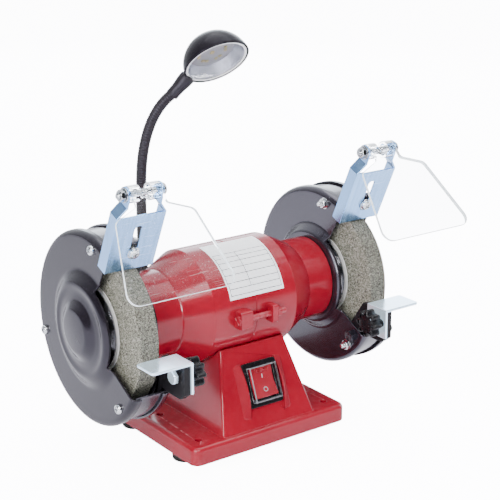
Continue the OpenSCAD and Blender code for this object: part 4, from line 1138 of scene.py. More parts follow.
@dataclass
class Base:
    """Cast base with its pedestal, bottom sheet, rubber feet and cord gland."""

    middle_y: float = 4.2
    foot_x: float = 60.0
    foot_y: float = 37.0
    foot_h: float = 8.0
    foot_screw: Point2 = (2.0, 13.0)
    foot_head: Point2 = (3.5, 2.4)
    gland_at: Point3 = (20.0, 45.983, 44.4)
    gland_lean: float = 10.85
    gland_flats: float = 17.0
    gland_bore: float = 3.2
    gland_thread: float = 5.95
    upright: float = 25.0
    upright_turn: float = 28.0
    upright_round: float = 1.5
    cheek_x: Point2 = (12.0, 24.0)
    cheek_y: float = 26.0
    cheek_z: Point2 = (0.15, 4.6)

    def on_cheek(self, point: Vector) -> bool:
        """Whether a point in the switch's frame lies on one of the cheeks beside it."""
        (near, far), (low, high) = self.cheek_x, self.cheek_z
        return near < abs(point.x) < far and abs(point.y) < self.cheek_y and low < point.z < high

    def casting(self) -> None:
        """Cast pedestal and plate with softened edges and dull cheeks, and the sheet below."""
        piece = Piece("cast_base", RED_ENAMEL, ("base_casting",), 0.4, 3, 16.0)
        piece.node("base_casting")
        sharp = math.radians(self.upright_turn)
        upright = [e for e in piece.bm.edges if e.is_manifold and e.calc_face_angle() > sharp
                   and abs(e.verts[0].co.z - e.verts[1].co.z) > self.upright]
        bmesh.ops.bevel(piece.bm, geom=upright, offset=self.upright_round, offset_type="OFFSET", segments=4,
                        profile=0.5, affect="EDGES", clamp_overlap=True)
        into = Switch().frame().inverted()
        tipped(piece.done(), CHEEK_RED, lambda face: self.on_cheek(into @ (face.center / MM)))
        copied("bottom_sheet", ZINC, "bottom_plate", 0.2)

    def feet(self) -> None:
        """Ribbed rubber feet with their recessed screws."""
        h = self.foot_h
        profile = [(4.2, 0.0), (9.3, 0.0), (9.9, 0.6), (10.2, 2.6), (9.7, 3.0), (9.7, 3.6), (10.4, 4.0),
                   (10.9, h - 0.6), (10.5, h), (2.1, h), (2.1, h / 2), (4.2, h / 2)]
        rubber = Piece("rubber_foot_set", BLACK_RUBBER, ("rubber_feet",), 0.25)
        screws = Piece("foot_screw_set", SCREW_ZINC, ("foot_screws",), 0.0)
        corners = [(x, y) for x in (-self.foot_x, self.foot_x) for y in (-self.foot_y, self.foot_y)]
        for i, (x, y) in enumerate(corners):
            place = at(x, self.middle_y + y, 0.0)
            rubber.ring(profile, place, 56)
            seat = place @ moved(z=h / 2)
            Fasteners.pan_screw(screws, seat, self.foot_screw, self.foot_head, 20.0 * i)
        rubber.done()
        screws.done()

    def gland(self) -> None:
        """Cord gland: hex flange, ribbed dome nut and through bore."""
        place = at(*self.gland_at) @ turned(self.gland_lean - 90, "X")
        bore = self.gland_bore
        piece = Piece("cord_gland_nut", BLACK_PLASTIC, ("cord_gland",), 0.25)
        Fasteners.hexagon(piece, place, self.gland_flats, 0.0, 4.2, bore, both=True)
        dome = [(bore, 3.8), (7.5, 3.8), (7.6, 8.0), (7.2, 10.0), (6.2, 12.0), (4.9, 13.0), (bore, 13.0)]
        piece.lathe(dome, place, 72, lambda a: 1.0 + 0.018 * math.cos(18 * a))
        piece.washer((bore, self.gland_thread), (-8.0, 0.2), place)
        piece.done()

    def build(self) -> None:
        """Builds the base's pieces."""
        self.casting()
        self.feet()
        self.gland()


# Motor


@dataclass
class Motor:
    """Motor housing with its clamp lugs, lug bolts and blank ruled label."""

    barrel_r: float = 45.0
    barrel_x: float = 38.5
    cone_x: float = 60.0
    neck_r: float = 33.5
    end_x: float = 85.0
    hole_r: float = 9.0
    lug_in: float = 9.5
    lug_left: float = 20.5
    lug_right: float = 18.5
    lug_h: float = 14.0
    lug_out: float = 8.0
    lug_drop: float = 2.0
    lug_root: float = 2.4
    lug_t: float = 5.0
    rib_half: float = 1.8
    rib_short: float = 4.2
    bolt_r: float = 2.4
    bolt_len: float = 44.0
    bolt_flats: float = 7.4
    bolt_head: float = 1.6
    nut_flats: float = 8.0
    nut_h: float = 4.0
    label_x: Point2 = (-24.0, 27.0)
    label_a: Point2 = (17.0, 88.0)
    label_r: float = 45.3
    ink_r: float = 45.33
    inset: float = 1.6
    rule: float = 0.48
    rules: tuple[float, ...] = (0.3, 0.38, 0.46, 0.56, 0.66, 0.77, 0.86, 0.95)
    column: float = 0.42

    def half_profile(self) -> list[Point2]:
        """Outline (radius, x) of one half, from the seam to the shaft hole.

        Returns:
            The rounded outline.
        """
        r, neck, cone, end = self.barrel_r, self.neck_r, self.cone_x, self.end_x
        points = [(r - 0.3, 0.0), (r - 0.3, 0.25), (r, 0.5), (r, self.barrel_x), (neck + 0.9, cone),
                  (neck, cone + 1.0), (neck, end), (self.hole_r, end)]
        return rounded(points, [0, 0, 0, 1.0, 0.6, 0.6, 1.3, 0], 5, False)

    def lug(self, piece: Piece, low: float, high: float, y_sign: int, gusset: bool) -> None:
        """Adds one clamp lug.

        Args:
            piece: Piece that takes the lug.
            low: Its lower end along the shaft.
            high: Its upper end along the shaft.
            y_sign: -1 for the front, 1 for the rear.
            gusset: Whether it is a plate that a rib backs on its outer side.
        """
        half, rib = self.lug_h / 2, self.rib_half
        root, tip = y_sign * (self.barrel_r - self.lug_root), y_sign * (self.barrel_r + self.lug_out)
        frame = at(0, 0, SHAFT_Z - self.lug_drop) @ ZX_PLANE
        plate = rounded([(root, -half), (tip, -half), (tip, half), (root, half)], [0, 1.6, 1.6, 0])
        piece.prism(plate, low, low + self.lug_t if gusset else high, frame)
        if gusset:
            end = tip - y_sign * self.rib_short
            web = [(root, -rib), (end, -rib), (end, rib), (root, rib)]
            piece.prism(web, low + self.lug_t - 1.0, high, frame)

    def housing(self) -> None:
        """Turned housing with its seam, lugs and painted lug bolts."""
        halves = ("motor_housing_left", "motor_housing_right")
        piece = Piece("motor_housing", HOUSING_RED, halves, 0.35, 2, 28.0)
        half = self.half_profile()
        piece.lathe([(r, -x) for r, x in reversed(half)] + half[1:], along_x(0, 0, SHAFT_Z), 180)
        bolts = Piece("lug_bolt_set", RED_ENAMEL, ("housing_bolts",), 0.2)
        for y_sign in (-1, 1):
            self.lug(piece, -self.lug_left, -self.lug_in, y_sign, False)
            self.lug(piece, self.lug_in, self.lug_right, y_sign, True)
            y, z = y_sign * (self.barrel_r + self.lug_out / 2), SHAFT_Z - self.lug_drop
            place = along_x(-self.lug_left, y, z)
            Fasteners.hexagon(bolts, place, self.bolt_flats, 0.0, -self.bolt_head, turn=14.0)
            rod = [(0, 0), (self.bolt_r, 0), (self.bolt_r, self.bolt_len), (0, self.bolt_len + 0.5)]
            bolts.lathe(rod, place, 28)
            nut = along_x(self.lug_right - self.nut_h, y, z)
            Fasteners.hexagon(bolts, nut, self.nut_flats, 0.0, self.nut_h, turn=5.0)
        piece.done()
        bolts.done()

    def patch(self, piece: Piece, x: Point2, a: Point2, r: float, cols: int = 3) -> None:
        """Adds a thin patch that follows the barrel.

        Args:
            piece: Piece that takes it.
            x: Its ends along the shaft.
            a: Its ends round the shaft.
            r: Its radius.
            cols: Steps along the shaft.
        """
        rows = max(1, round(abs(a[1] - a[0]) / 2))
        grid = []
        for i in range(cols + 1):
            along = x[0] + (x[1] - x[0]) * i / cols
            angles = [a[0] + (a[1] - a[0]) * k / rows for k in range(rows + 1)]
            grid.append([about_shaft(along, r, angle).to_translation() for angle in angles])
        piece.grid(grid)

    def label(self) -> None:
        """White label with blank ruled rows."""
        x0, x1 = self.label_x
        a0, a1 = self.label_a
        sheet = Piece("ruled_label", GLOWING_LABEL_FILM, ("rating_label",), 0.0)
        self.patch(sheet, self.label_x, self.label_a, self.label_r, 26)
        sheet.done(False)
        ink = Piece("label_rules", LABEL_INK, (), 0.0)
        left, right, w = x0 + self.inset, x1 - self.inset, self.rule
        heights = [a1 + (a0 - a1) * share for share in self.rules]
        for height in heights:
            self.patch(ink, (left, right), (height, height + math.degrees(w / self.barrel_r)), self.ink_r)
        divide = x0 + (x1 - x0) * self.column
        for x, low in ((left, heights[-1]), (right - w, heights[-1]), (divide, heights[-2])):
            self.patch(ink, (x, x + w), (low, heights[0]), self.ink_r)
        ink.done(False)

    def build(self) -> None:
        """Builds the motor's pieces and dresses what is inside."""
        self.housing()
        self.label()
        carried(stator_core=PLAIN_STEEL, stator_windings=COPPER_WIRE, bearings=BRIGHT_CHROME,
                run_capacitor=BOARD_WHITE, cradle_bolts=SCREW_ZINC)


# Rotor


@dataclass
class Rotor:
    """Shaft with the grinding wheels, their paper blotters, flanges and nuts."""

    wheel_r: float = 62.5
    wheel_in: float = 100.0
    wheel_w: float = 16.0
    bore_r: float = 6.4
    blotter_r: float = 34.0
    blotter_t: float = 0.6
    flange_r: float = 31.0
    flange_h: float = 4.6
    nut_flats: float = 19.0
    nut_h: float = 8.0

    def wheel(self, side: Side) -> None:
        """Stone with a slightly uneven rim, whose faces take a darker stone as painted shade.

        Args:
            side: End of the shaft.
        """
        body = Body.ROTOR.value
        piece = Piece(f"{side.word}_stone", GRIT_STONE, (f"{side.word}_wheel",), 0.0, body=body)
        r, w = self.wheel_r, self.wheel_w
        flat = [self.bore_r, 20.0, 30.0, 36.0, 42.0, 48.0, 53.0, 57.0, 60.0, r - 0.9]
        profile = [(q, 0.0) for q in flat] + [(r - 0.3, 0.25), (r, 0.8)]
        profile += [(r, 0.8 + (w - 1.6) * i / 12) for i in range(1, 12)]
        profile += [(r, w - 0.8), (r - 0.3, w - 0.25)] + [(q, w) for q in reversed(flat)]
        piece.ring(profile, along_x(side.value * self.wheel_in, 0, SHAFT_Z, side.value), 240)
        for vert in piece.bm.verts:
            out = off_shaft(vert.co)
            if out.length > r - 1.2:
                rough = noise.noise(vert.co * 0.55) * 0.16 + noise.noise(vert.co * 1.9) * 0.1
                vert.co -= out.normalized() * (0.12 + rough * 0.6)
        # The rim faces take the darker stone: painted shade on the side turned from the light.
        tipped(piece.done(), SHADED_RIM_STONE, lambda face: off_shaft(face.center / MM).length > r - 0.6)

    def flange(self, piece: Piece, x: float, side: int) -> None:
        """Adds one pressed flange with its stepped rim, rising along the shaft.

        Args:
            piece: Piece that takes it.
            x: Its seat along the shaft.
            side: Way that it rises.
        """
        r, bore, top = self.flange_r, self.bore_r, self.flange_h
        profile = [(bore, 0.0), (r - 0.2, 0.0), (r, 0.3), (r, 1.0)]
        for k in range(5):
            q, h = r - 0.4 - 1.4 * k, 1.1 + 0.25 * k
            profile += [(q, h), (q - 0.3, h + 0.5), (q - 0.6, h + 0.5), (q - 0.9, h)]
        profile += [(r - 9.0, 2.8), (r - 14.0, 3.2), (r - 18.0, 4.4), (r - 19.0, top), (bore, top)]
        piece.ring(profile, along_x(x, 0, SHAFT_Z, side), 120)

    def build(self) -> None:
        """Builds the rotor's pieces and dresses what is inside."""
        body, t = Body.ROTOR.value, self.blotter_t
        flange_nodes = ("inner_flanges", "outer_flanges")
        blotters = Piece("paper_blotters", BLOTTER_PAPER, ("wheel_blotters",), 0.08, body=body)
        flanges = Piece("pressed_flanges", FLANGE_STEEL, flange_nodes, 0.0, 2, 50.0, body)
        nuts = Piece("shaft_nuts", SCREW_ZINC, ("wheel_nuts",), 0.15, body=body)
        near, far = self.wheel_in - t, self.wheel_in + self.wheel_w
        for side in Side:
            s = side.value
            self.wheel(side)
            for x in (near, far):
                blotters.washer((self.bore_r, self.blotter_r), (0.0, t), along_x(s * x, 0, SHAFT_Z, s), 96)
            self.flange(flanges, s * near, -s)
            self.flange(flanges, s * (far + t), s)
            seat = along_x(s * (far + t + self.flange_h), 0, SHAFT_Z, s)
            Fasteners.hexagon(nuts, seat, self.nut_flats, 0.0, self.nut_h, self.bore_r, both=True)
        for piece in (blotters, flanges, nuts):
            piece.done()
        carried(shaft=PLAIN_STEEL, rotor_core=PLAIN_STEEL, cooling_fan=BLACK_PLASTIC)


# Guards


@dataclass
class Guard:
    """Pressed guard of one wheel: inner plate, domed cover, band and screws."""

    side: Side
    plate_x: float = 91.0
    width: float = 34.0
    dish: float = 6.0
    dish_r: float = 38.0
    rim_r: float = 5.0
    lip: float = 3.0
    outer_r: float = 74.5
    sheet: float = 1.6
    hole_r: float = 9.0
    open_r: float = 39.5
    open_a: tuple[int, int] = (-29, 61)
    boss_r: Point2 = (33.5, 47.0)
    boss_h: float = 5.3
    dome_r: Point2 = (14.5, 25.5)
    dome_h: float = 5.2
    band_r: Point2 = (71.0, 72.6)
    band_in: Point2 = (1.4, 4.0)
    screw_r: float = 66.0
    screw_a: tuple[float, ...] = (78.0, -46.0, -163.0)
    screw_shank: Point2 = (2.0, 41.0)
    screw_head: Point2 = (3.8, 2.8)
    washer_r: Point2 = (2.1, 4.6)
    washer_t: float = 0.7
    nut_flats: float = 7.0
    nut_h: float = 3.0
    nut_bore: float = 2.05
    tab_half: float = 7.5

    def sweep(self, profile: Sequence[Point2], a0: float, a1: float) -> list[list[Vector]]:
        """Sweeps a profile about the shaft in steps of two degrees.

        Args:
            profile: Points (radius, x).
            a0: First angle.
            a1: Last angle.

        Returns:
            One row of points for each step.
        """
        steps = round(abs(a1 - a0) / 2)
        rows = []
        for a in (a0 + (a1 - a0) * i / steps for i in range(steps + 1)):
            swung = [(self.side.value * x, *polar(r, a)) for r, x in profile]
            rows.append([Vector((x, y + SHAFT_Y, z + SHAFT_Z)) for x, y, z in swung])
        return rows

    def split(self, line: list[Point2]) -> tuple[list[Point2], list[Point2]]:
        """Splits a profile line at the radius of the opening.

        Args:
            line: Points (radius, x) outward.

        Returns:
            The inner and outer parts, both holding the point of the split.

        Raises:
            ValueError: If the line doesn't cross that radius.
        """
        for i, ((r0, x0), (r1, x1)) in enumerate(zip(line, line[1:])):
            if r0 < self.open_r <= r1:
                t = (self.open_r - r0) / (r1 - r0)
                cut = (self.open_r, x0 + (x1 - x0) * t)
                return [*line[: i + 1], cut], [cut, *line[i + 1:]]
        raise ValueError("the opening's radius is not on the profile")

    def band(self, piece: Piece, section: Sequence[Point2]) -> None:
        """Sweeps a closed section round the guard from one end of the opening to the other.

        Args:
            piece: Piece that takes it.
            section: Corners (radius, x) of the section.
        """
        low, high = self.open_a
        piece.grid(self.sweep([*section, section[0]], high, low + 360))
        for a in (high, low):
            piece.face(self.sweep(section, a, a + 2)[0])

    def shell(self, piece: Piece, front: list[Point2], back: list[Point2]) -> None:
        """Adds a pressed plate with its opening cut out.

        Args:
            piece: Piece that takes the plate.
            front: Outer skin (radius, x) from the middle to the lip.
            back: Inner skin (radius, x) from the middle to the lip.
        """
        front_in, front_out = self.split(front)
        back_in, back_out = self.split(back)
        piece.grid(self.sweep(front_in, 0, 360))
        piece.grid(self.sweep(list(reversed(back_in)), 0, 360))
        if front[0][0] > 1e-6:
            piece.grid(self.sweep([back[0], front[0]], 0, 360))
        low, high = self.open_a
        ring = [*front_out, *reversed(back_out)]
        piece.grid(self.sweep(ring, high, low + 360))
        piece.grid(self.sweep([front_out[0], back_out[0]], low, high))
        for a in (high, low):
            piece.face(self.sweep(ring, a, a + 2)[0])
        piece.weld(COARSE_WELD)
        bmesh.ops.dissolve_degenerate(piece.bm, dist=FINE_WELD, edges=piece.bm.edges)

    def rim(self, x: float, lip_x: float, inset: float) -> list[Point2]:
        """Rounded rim and lip of a skin, from its flat to the lip's end.

        Args:
            x: Place of the flat.
            lip_x: Place of the lip's end.
            inset: Depth of the skin below the outer one.

        Returns:
            The points (radius, x).
        """
        turn = math.copysign(1.0, lip_x - x)
        r = self.rim_r - inset
        corner = arc((self.outer_r - self.rim_r, x + turn * r), r, -90.0 * turn, 0.0, 9)
        return [*corner, (self.outer_r - inset, lip_x)]

    def cover_height(self, r: float) -> float:
        """Works out how far the cover bulges out.

        Args:
            r: Radius about the shaft.

        Returns:
            The height over the cover's flat.
        """
        (dome_in, dome_out), (boss_in, boss_out) = self.dome_r, self.boss_r
        boss = self.boss_h * smooth((boss_out - r) / (boss_out - boss_in))
        crown = 0.16 * max(0.0, 1 - (r / dome_in) ** 2)
        dome = self.dome_h * (0.84 * smooth((dome_out - r) / (dome_out - dome_in)) + crown)
        hollow = -0.5 * math.sin(math.pi * min(1.0, max(0.0, (r - dome_out) / (boss_in - dome_out))))
        return boss + dome + hollow

    def cover(self) -> None:
        """Domed outer cover."""
        end, word = self.plate_x + self.width, self.side.word
        radii = [0.0, 2.0] + [3.0 + 1.25 * i for i in range(37)] + [52.0, 56.0, 60.0, 64.0, 67.0]
        lip_x = end - self.rim_r - self.lip
        skins = []
        for depth in (0.0, self.sheet):
            domed = [(r, end - depth + self.cover_height(r)) for r in radii]
            skins.append(domed + self.rim(end - depth, lip_x, depth))
        piece = Piece(f"{word}_cover", BLACK_ENAMEL, (f"{word}_guard_cover",), 0.35, 2, 40.0)
        self.shell(piece, *skins)
        piece.done()

    def inner_line(self, shift: float) -> list[Point2]:
        """Skin of the inner plate from the shaft hole to the flat.

        Args:
            shift: Move along the shaft.

        Returns:
            The points (radius, x), at most about 4 mm apart.
        """
        base, flat = self.plate_x - self.dish + shift, self.plate_x + shift
        dish_r = self.dish_r - 0.4 * shift
        points = [(self.hole_r, base), (dish_r, base), (dish_r + self.dish, flat),
                  (self.outer_r - self.rim_r, flat)]
        line = rounded(points, [0, 4.0, 4.0, 0], 8, False)
        fine: list[Point2] = []
        for (r0, x0), (r1, x1) in zip(line, line[1:]):
            n = max(1, round(math.hypot(r1 - r0, x1 - x0) / 4))
            fine += [(r0 + (r1 - r0) * i / n, x0 + (x1 - x0) * i / n) for i in range(n)]
        return fine

    def plate(self) -> None:
        """Inner plate with its dish, the band round the wheel and the deflector's tab."""
        word, x = self.side.word, self.plate_x
        lip_x = x + self.rim_r + self.lip
        skins = (self.inner_line(depth) + self.rim(x + depth, lip_x, depth) for depth in (0.0, self.sheet))
        piece = Piece(f"{word}_plate", PLATE_BLACK, (f"{word}_guard_inner",), 0.35, 2, 40.0)
        self.shell(piece, *skins)
        (r0, r1), x0, x1 = self.band_r, x + self.band_in[0], x + self.width - self.band_in[1]
        self.band(piece, [(r0, x0), (r0, x1), (r1, x1), (r1, x0)])
        deflector = Deflector(self.side)
        outline = [(8.0, -1.75), (24.0, -1.75), (24.0, -4.25), (14.0, -4.25),
                   deflector.to_plate(polar(72.1, 68.0)), deflector.to_plate(polar(71.8, 62.0))]
        piece.prism(outline, -self.tab_half, self.tab_half, deflector.frame() @ ZX_PLANE)
        piece.weld(COARSE_WELD)
        piece.done()

    def screws(self, piece: Piece) -> None:
        """Adds the cover screws with their nuts behind the inner plate.

        Args:
            piece: Piece that takes them.
        """
        s, t = self.side.value, self.washer_t
        for i, a in enumerate(self.screw_a):
            head = about_shaft(s * (self.plate_x + self.width), self.screw_r, a, -s)
            Fasteners.pan_screw(piece, head, self.screw_shank, self.screw_head, 25.0 + 50.0 * i)
            seat = about_shaft(s * self.plate_x, self.screw_r, a, -s)
            piece.washer(self.washer_r, (0.0, t), seat, 32)
            turn = 12.0 + 17.0 * i
            Fasteners.hexagon(piece, seat, self.nut_flats, t, t + self.nut_h, self.nut_bore, turn)

    def build(self, screws: Piece) -> None:
        """Builds the guard and adds its screws to the shared set.

        Args:
            screws: Piece that takes the cover screws.
        """
        self.cover()
        self.plate()
        self.screws(screws)


# Spark deflectors and eye shields


@dataclass
class Deflector:
    """Zinc spark deflector of one wheel with its slot screw, hinge bolt and clear eye shield."""

    side: Side
    wheel_x: float = 108.0
    edge_r: float = 64.5
    edge_a: float = 55.5
    lean: float = 24.4
    hinge_up: float = 64.5
    hinge_back: float = 6.2
    ear_half: float = 14.5
    screw_up: float = 16.0
    screw_r: float = 2.5
    bolt_r: float = 2.5
    hole_r: float = 2.6
    bolt_head: Point2 = (4.4, 3.2)
    screw_len: float = 8.2
    screw_head: Point2 = (4.2, 2.8)
    washer_r: float = 5.4
    washer_t: float = 0.7
    slot_washer_r: float = 4.9
    slot_washer_t: float = 0.8
    nut_flats: float = 8.0
    nut_top: float = 4.6
    nut_bore: float = 2.55
    droop: dict[Side, float] = field(default_factory=lambda: {Side.LEFT: 53.0, Side.RIGHT: 45.0})
    eye_r: float = 6.2
    eye_turn: float = 11.8
    sheet_t: float = 2.0
    tongue: float = 25.0
    tongue_h: float = 12.0
    eye_gap: float = 9.0
    eye_notch: float = 5.5
    eye_clear: float = 9.0
    edge_facing: float = 0.75
    sheet: tuple[Point2, Point2] = ((64.0, 20.0), (90.0, 80.0))

    @property
    def body(self) -> str:
        """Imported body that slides."""
        return f"{self.side.word}_deflector_slider"

    def frame(self) -> Matrix:
        """Placing of the plate: X across, Y up the plate and Z out of its front."""
        y, z = polar(self.edge_r, self.edge_a)
        return at(self.side.value * self.wheel_x, y, SHAFT_Z + z) @ turned(90 + self.lean, "X")

    def hinge_centre(self) -> Matrix:
        """Placing of the hinge line's middle."""
        return self.frame() @ moved(0, self.hinge_up, -self.hinge_back)

    def to_plate(self, point: Point2) -> Point2:
        """Turns a point about the shaft into the plate's own measures.

        Args:
            point: Point (y, z) about the shaft.

        Returns:
            The distances up the plate and out of its front.
        """
        y, z = polar(self.edge_r, self.edge_a)
        t = math.radians(self.lean)
        dy, dz = point[0] - y, point[1] - z
        return -math.sin(t) * dy + math.cos(t) * dz, -math.cos(t) * dy - math.sin(t) * dz

    def hinge(self) -> None:
        """Hinge bolt with its washers, nut and threaded tip."""
        word, e, t = self.side.word, self.ear_half, self.washer_t
        piece = Piece(f"{word}_hinge_pin", PIN_ZINC, (f"{word}_hinge_bolt",), 0.12, body=self.body)
        head, tail = (self.hinge_centre() @ moved(x) @ turned(-90, "Y") for x in (e, -e))
        Fasteners.pan_screw(piece, head @ moved(z=-t), (self.bolt_r, 2 * e + 7.0), self.bolt_head, 30.0)
        piece.washer((self.hole_r, self.washer_r), (-t, 0.0), head)
        piece.washer((self.hole_r, self.washer_r), (0.0, t), tail)
        Fasteners.hexagon(piece, tail, self.nut_flats, t, self.nut_top, self.nut_bore, 9.0, True)
        piece.done()

    def hang(self) -> Matrix:
        """Placing of the shield at rest: X across, Y down the sheet and Z behind it."""
        place = Matrix.Translation(self.hinge_centre().to_translation())
        return place @ turned(180 + self.droop[self.side], "X")

    def curl(self, piece: Piece, x0: float, x1: float) -> None:
        """Rolls one end of the sheet's tongue round the hinge pin.

        Args:
            piece: Piece that takes it.
            x0: First end along the pin.
            x1: Last end along the pin.
        """
        outer, inner = self.eye_r, self.eye_r - self.sheet_t
        rows = []
        for y, z in arc((0.0, 0.0), 1.0, -90.0, -90.0 - 24 * self.eye_turn, 24):
            corners = ((x0, outer), (x1, outer), (x1, inner), (x0, inner))
            rows.append([Vector((x, r * y, r * z)) for x, r in corners])
        piece.grid(rows, True)
        piece.bm.verts.ensure_lookup_table()
        piece.bm.faces.new(piece.bm.verts[-4:])

    def shield(self) -> None:
        """Clear sheet with two rolled eyes, and sawn edges painted bright as a highlight."""
        word, hang = self.side.word, self.hang()
        body = f"{word}_eye_shield"
        piece = Piece(f"{word}_clear_shield", CLEAR_SHEET, (f"{word}_shield",), 0.3, body=body)
        t, g, notch, h = self.tongue / 2, self.eye_gap / 2, self.eye_notch, self.tongue_h
        (top, shoulder), (low, length) = self.sheet
        outline = [(-t, 0.0), (-g, 0.0), (-g, notch), (g, notch), (g, 0.0), (t, 0.0), (t, h),
                   (top / 2, shoulder), (low / 2, length), (-low / 2, length), (-top / 2, shoulder), (-t, h)]
        outline = rounded(outline, [0.0, 0.0, 1.5, 1.5, 0.0, 0.0, 3.0, 6.0, 8.0, 8.0, 6.0, 3.0])
        piece.prism(outline, -self.eye_r, self.sheet_t - self.eye_r, Matrix())
        ends = [f for f in piece.bm.faces if all(abs(v.co.y) < 1e-5 for v in f.verts)]
        bmesh.ops.delete(piece.bm, geom=ends, context="FACES_ONLY")
        for x0, x1 in ((-t, -g), (g, t)):
            self.curl(piece, x0, x1)
        piece.weld(FINE_WELD)
        piece.bm.transform(hang)
        facing, hinge = hang.to_3x3() @ Vector((0, 0, 1)), hang.to_translation()
        # Sawn edges take the glowing edge finish: a painted highlight.
        tipped(piece.done(), CLEAR_EDGE_GLOW, lambda face: abs(face.normal.dot(facing)) < self.edge_facing
               and (face.center / MM - hinge).yz.length > self.eye_clear)

    def slot_screw(self, piece: Piece) -> None:
        """Adds the screw and washer that clamp the plate to the guard's tab.

        Args:
            piece: Piece that takes them.
        """
        t = self.slot_washer_t
        seat = self.frame() @ moved(0, self.screw_up, 0.25) @ turned(180.0, "X")
        piece.washer((self.hole_r, self.slot_washer_r), (-t, 0.0), seat)
        size, turn = (self.screw_r, self.screw_len), 35.0 * self.side.value
        Fasteners.pan_screw(piece, seat @ moved(z=-t), size, self.screw_head, turn)

    def build(self, screws: Piece) -> None:
        """Builds the deflector and adds its slot screw to the shared set.

        Args:
            screws: Piece that takes the slot screw.
        """
        word = self.side.word
        copied(f"{word}_bracket", ZINC, f"{word}_deflector", 0.4, 3, 28.0, self.body)
        self.hinge()
        self.shield()
        self.slot_screw(screws)


# Tool rests


@dataclass
class ToolRest:
    """Tool rest of one wheel with its support arm, clamp bolt and star knob."""

    side: Side
    arm_x: float = 92.6
    arm_t: float = 5.0
    leg_x: float = 90.35
    bolt_y: float = -80.6
    bolt_z: float = -17.0
    bolt_r: float = 3.0
    bolt_len: float = 17.5
    bolt_plain: float = 6.0
    bolt_pitch: float = 1.0
    bolt_flats: float = 9.6
    bolt_head: float = 2.9
    collar_r: float = 5.2
    collar_h: float = 2.0
    knob_r: float = 11.5
    knob_h: float = 12.0
    knob_gap: float = 0.25
    lobe: float = 0.3

    def on_bolt(self, x: float) -> Matrix:
        """Placing on the clamp bolt's axis, with local Z toward the knob."""
        s = self.side.value
        return along_x(s * x, self.bolt_y, SHAFT_Z + self.bolt_z, -s)

    def knob(self) -> None:
        """Eight-lobed moulded knob with a domed cap and a collar."""
        word, h, r = self.side.word, self.knob_h, self.knob_r
        place = self.on_bolt(self.leg_x - self.knob_gap)
        rider = f"{word}_clamp_knob"
        piece = Piece(f"{word}_star_knob", BLACK_PLASTIC, (f"{word}_knob",), 0.0, 2, 60.0, rider)
        piece.lathe([(self.bolt_r + 0.1, 0.0), (6.4, 0.0), (6.6, 0.2), (6.6, 3.2)], place, 96)
        body = [(6.2, 3.0), (r - 1.0, 3.0), (r - 0.35, 3.3), (r, 4.1), (r, h - 2.4), (r - 0.3, h - 1.5),
                (r - 1.1, h - 0.8), (r - 2.4, h - 0.45)]
        piece.lathe(body, place, 144, lambda a: 1.0 - self.lobe * math.sin(4 * a) ** 2)
        cap = [(7.6, h - 0.9), (6.6, h - 0.55), (4.6, h - 0.2), (2.0, h), (0.0, h)]
        piece.lathe(cap, place, 144)
        piece.done()

    def build(self, bolts: Piece) -> None:
        """Builds the rest and adds its bolt to the shared set.

        Args:
            bolts: Piece that takes the bolt.
        """
        word, h = self.side.word, self.collar_h
        copied(f"{word}_rest_sheet", GLOWING_REST_ZINC, f"{word}_tool_rest", 0.5, 3, 28.0, f"{word}_rest")
        copied(f"{word}_rest_arm", ARM_BLACK, f"{word}_rest_support", 0.7, 3, 28.0)
        self.knob()
        seat = self.on_bolt(self.arm_x + self.arm_t)
        collar = Piece(f"{word}_bolt_collar", ARM_BLACK, (), 0.2)
        collar.washer((self.bolt_r + 0.1, self.collar_r), (-h, 0.0), seat, 48)
        collar.done()
        Fasteners.hexagon(bolts, seat, self.bolt_flats, -h, -h - self.bolt_head, turn=8.0)
        Fasteners.shank(bolts, seat, self.bolt_r, self.bolt_len, self.bolt_plain, self.bolt_pitch)


# Switch


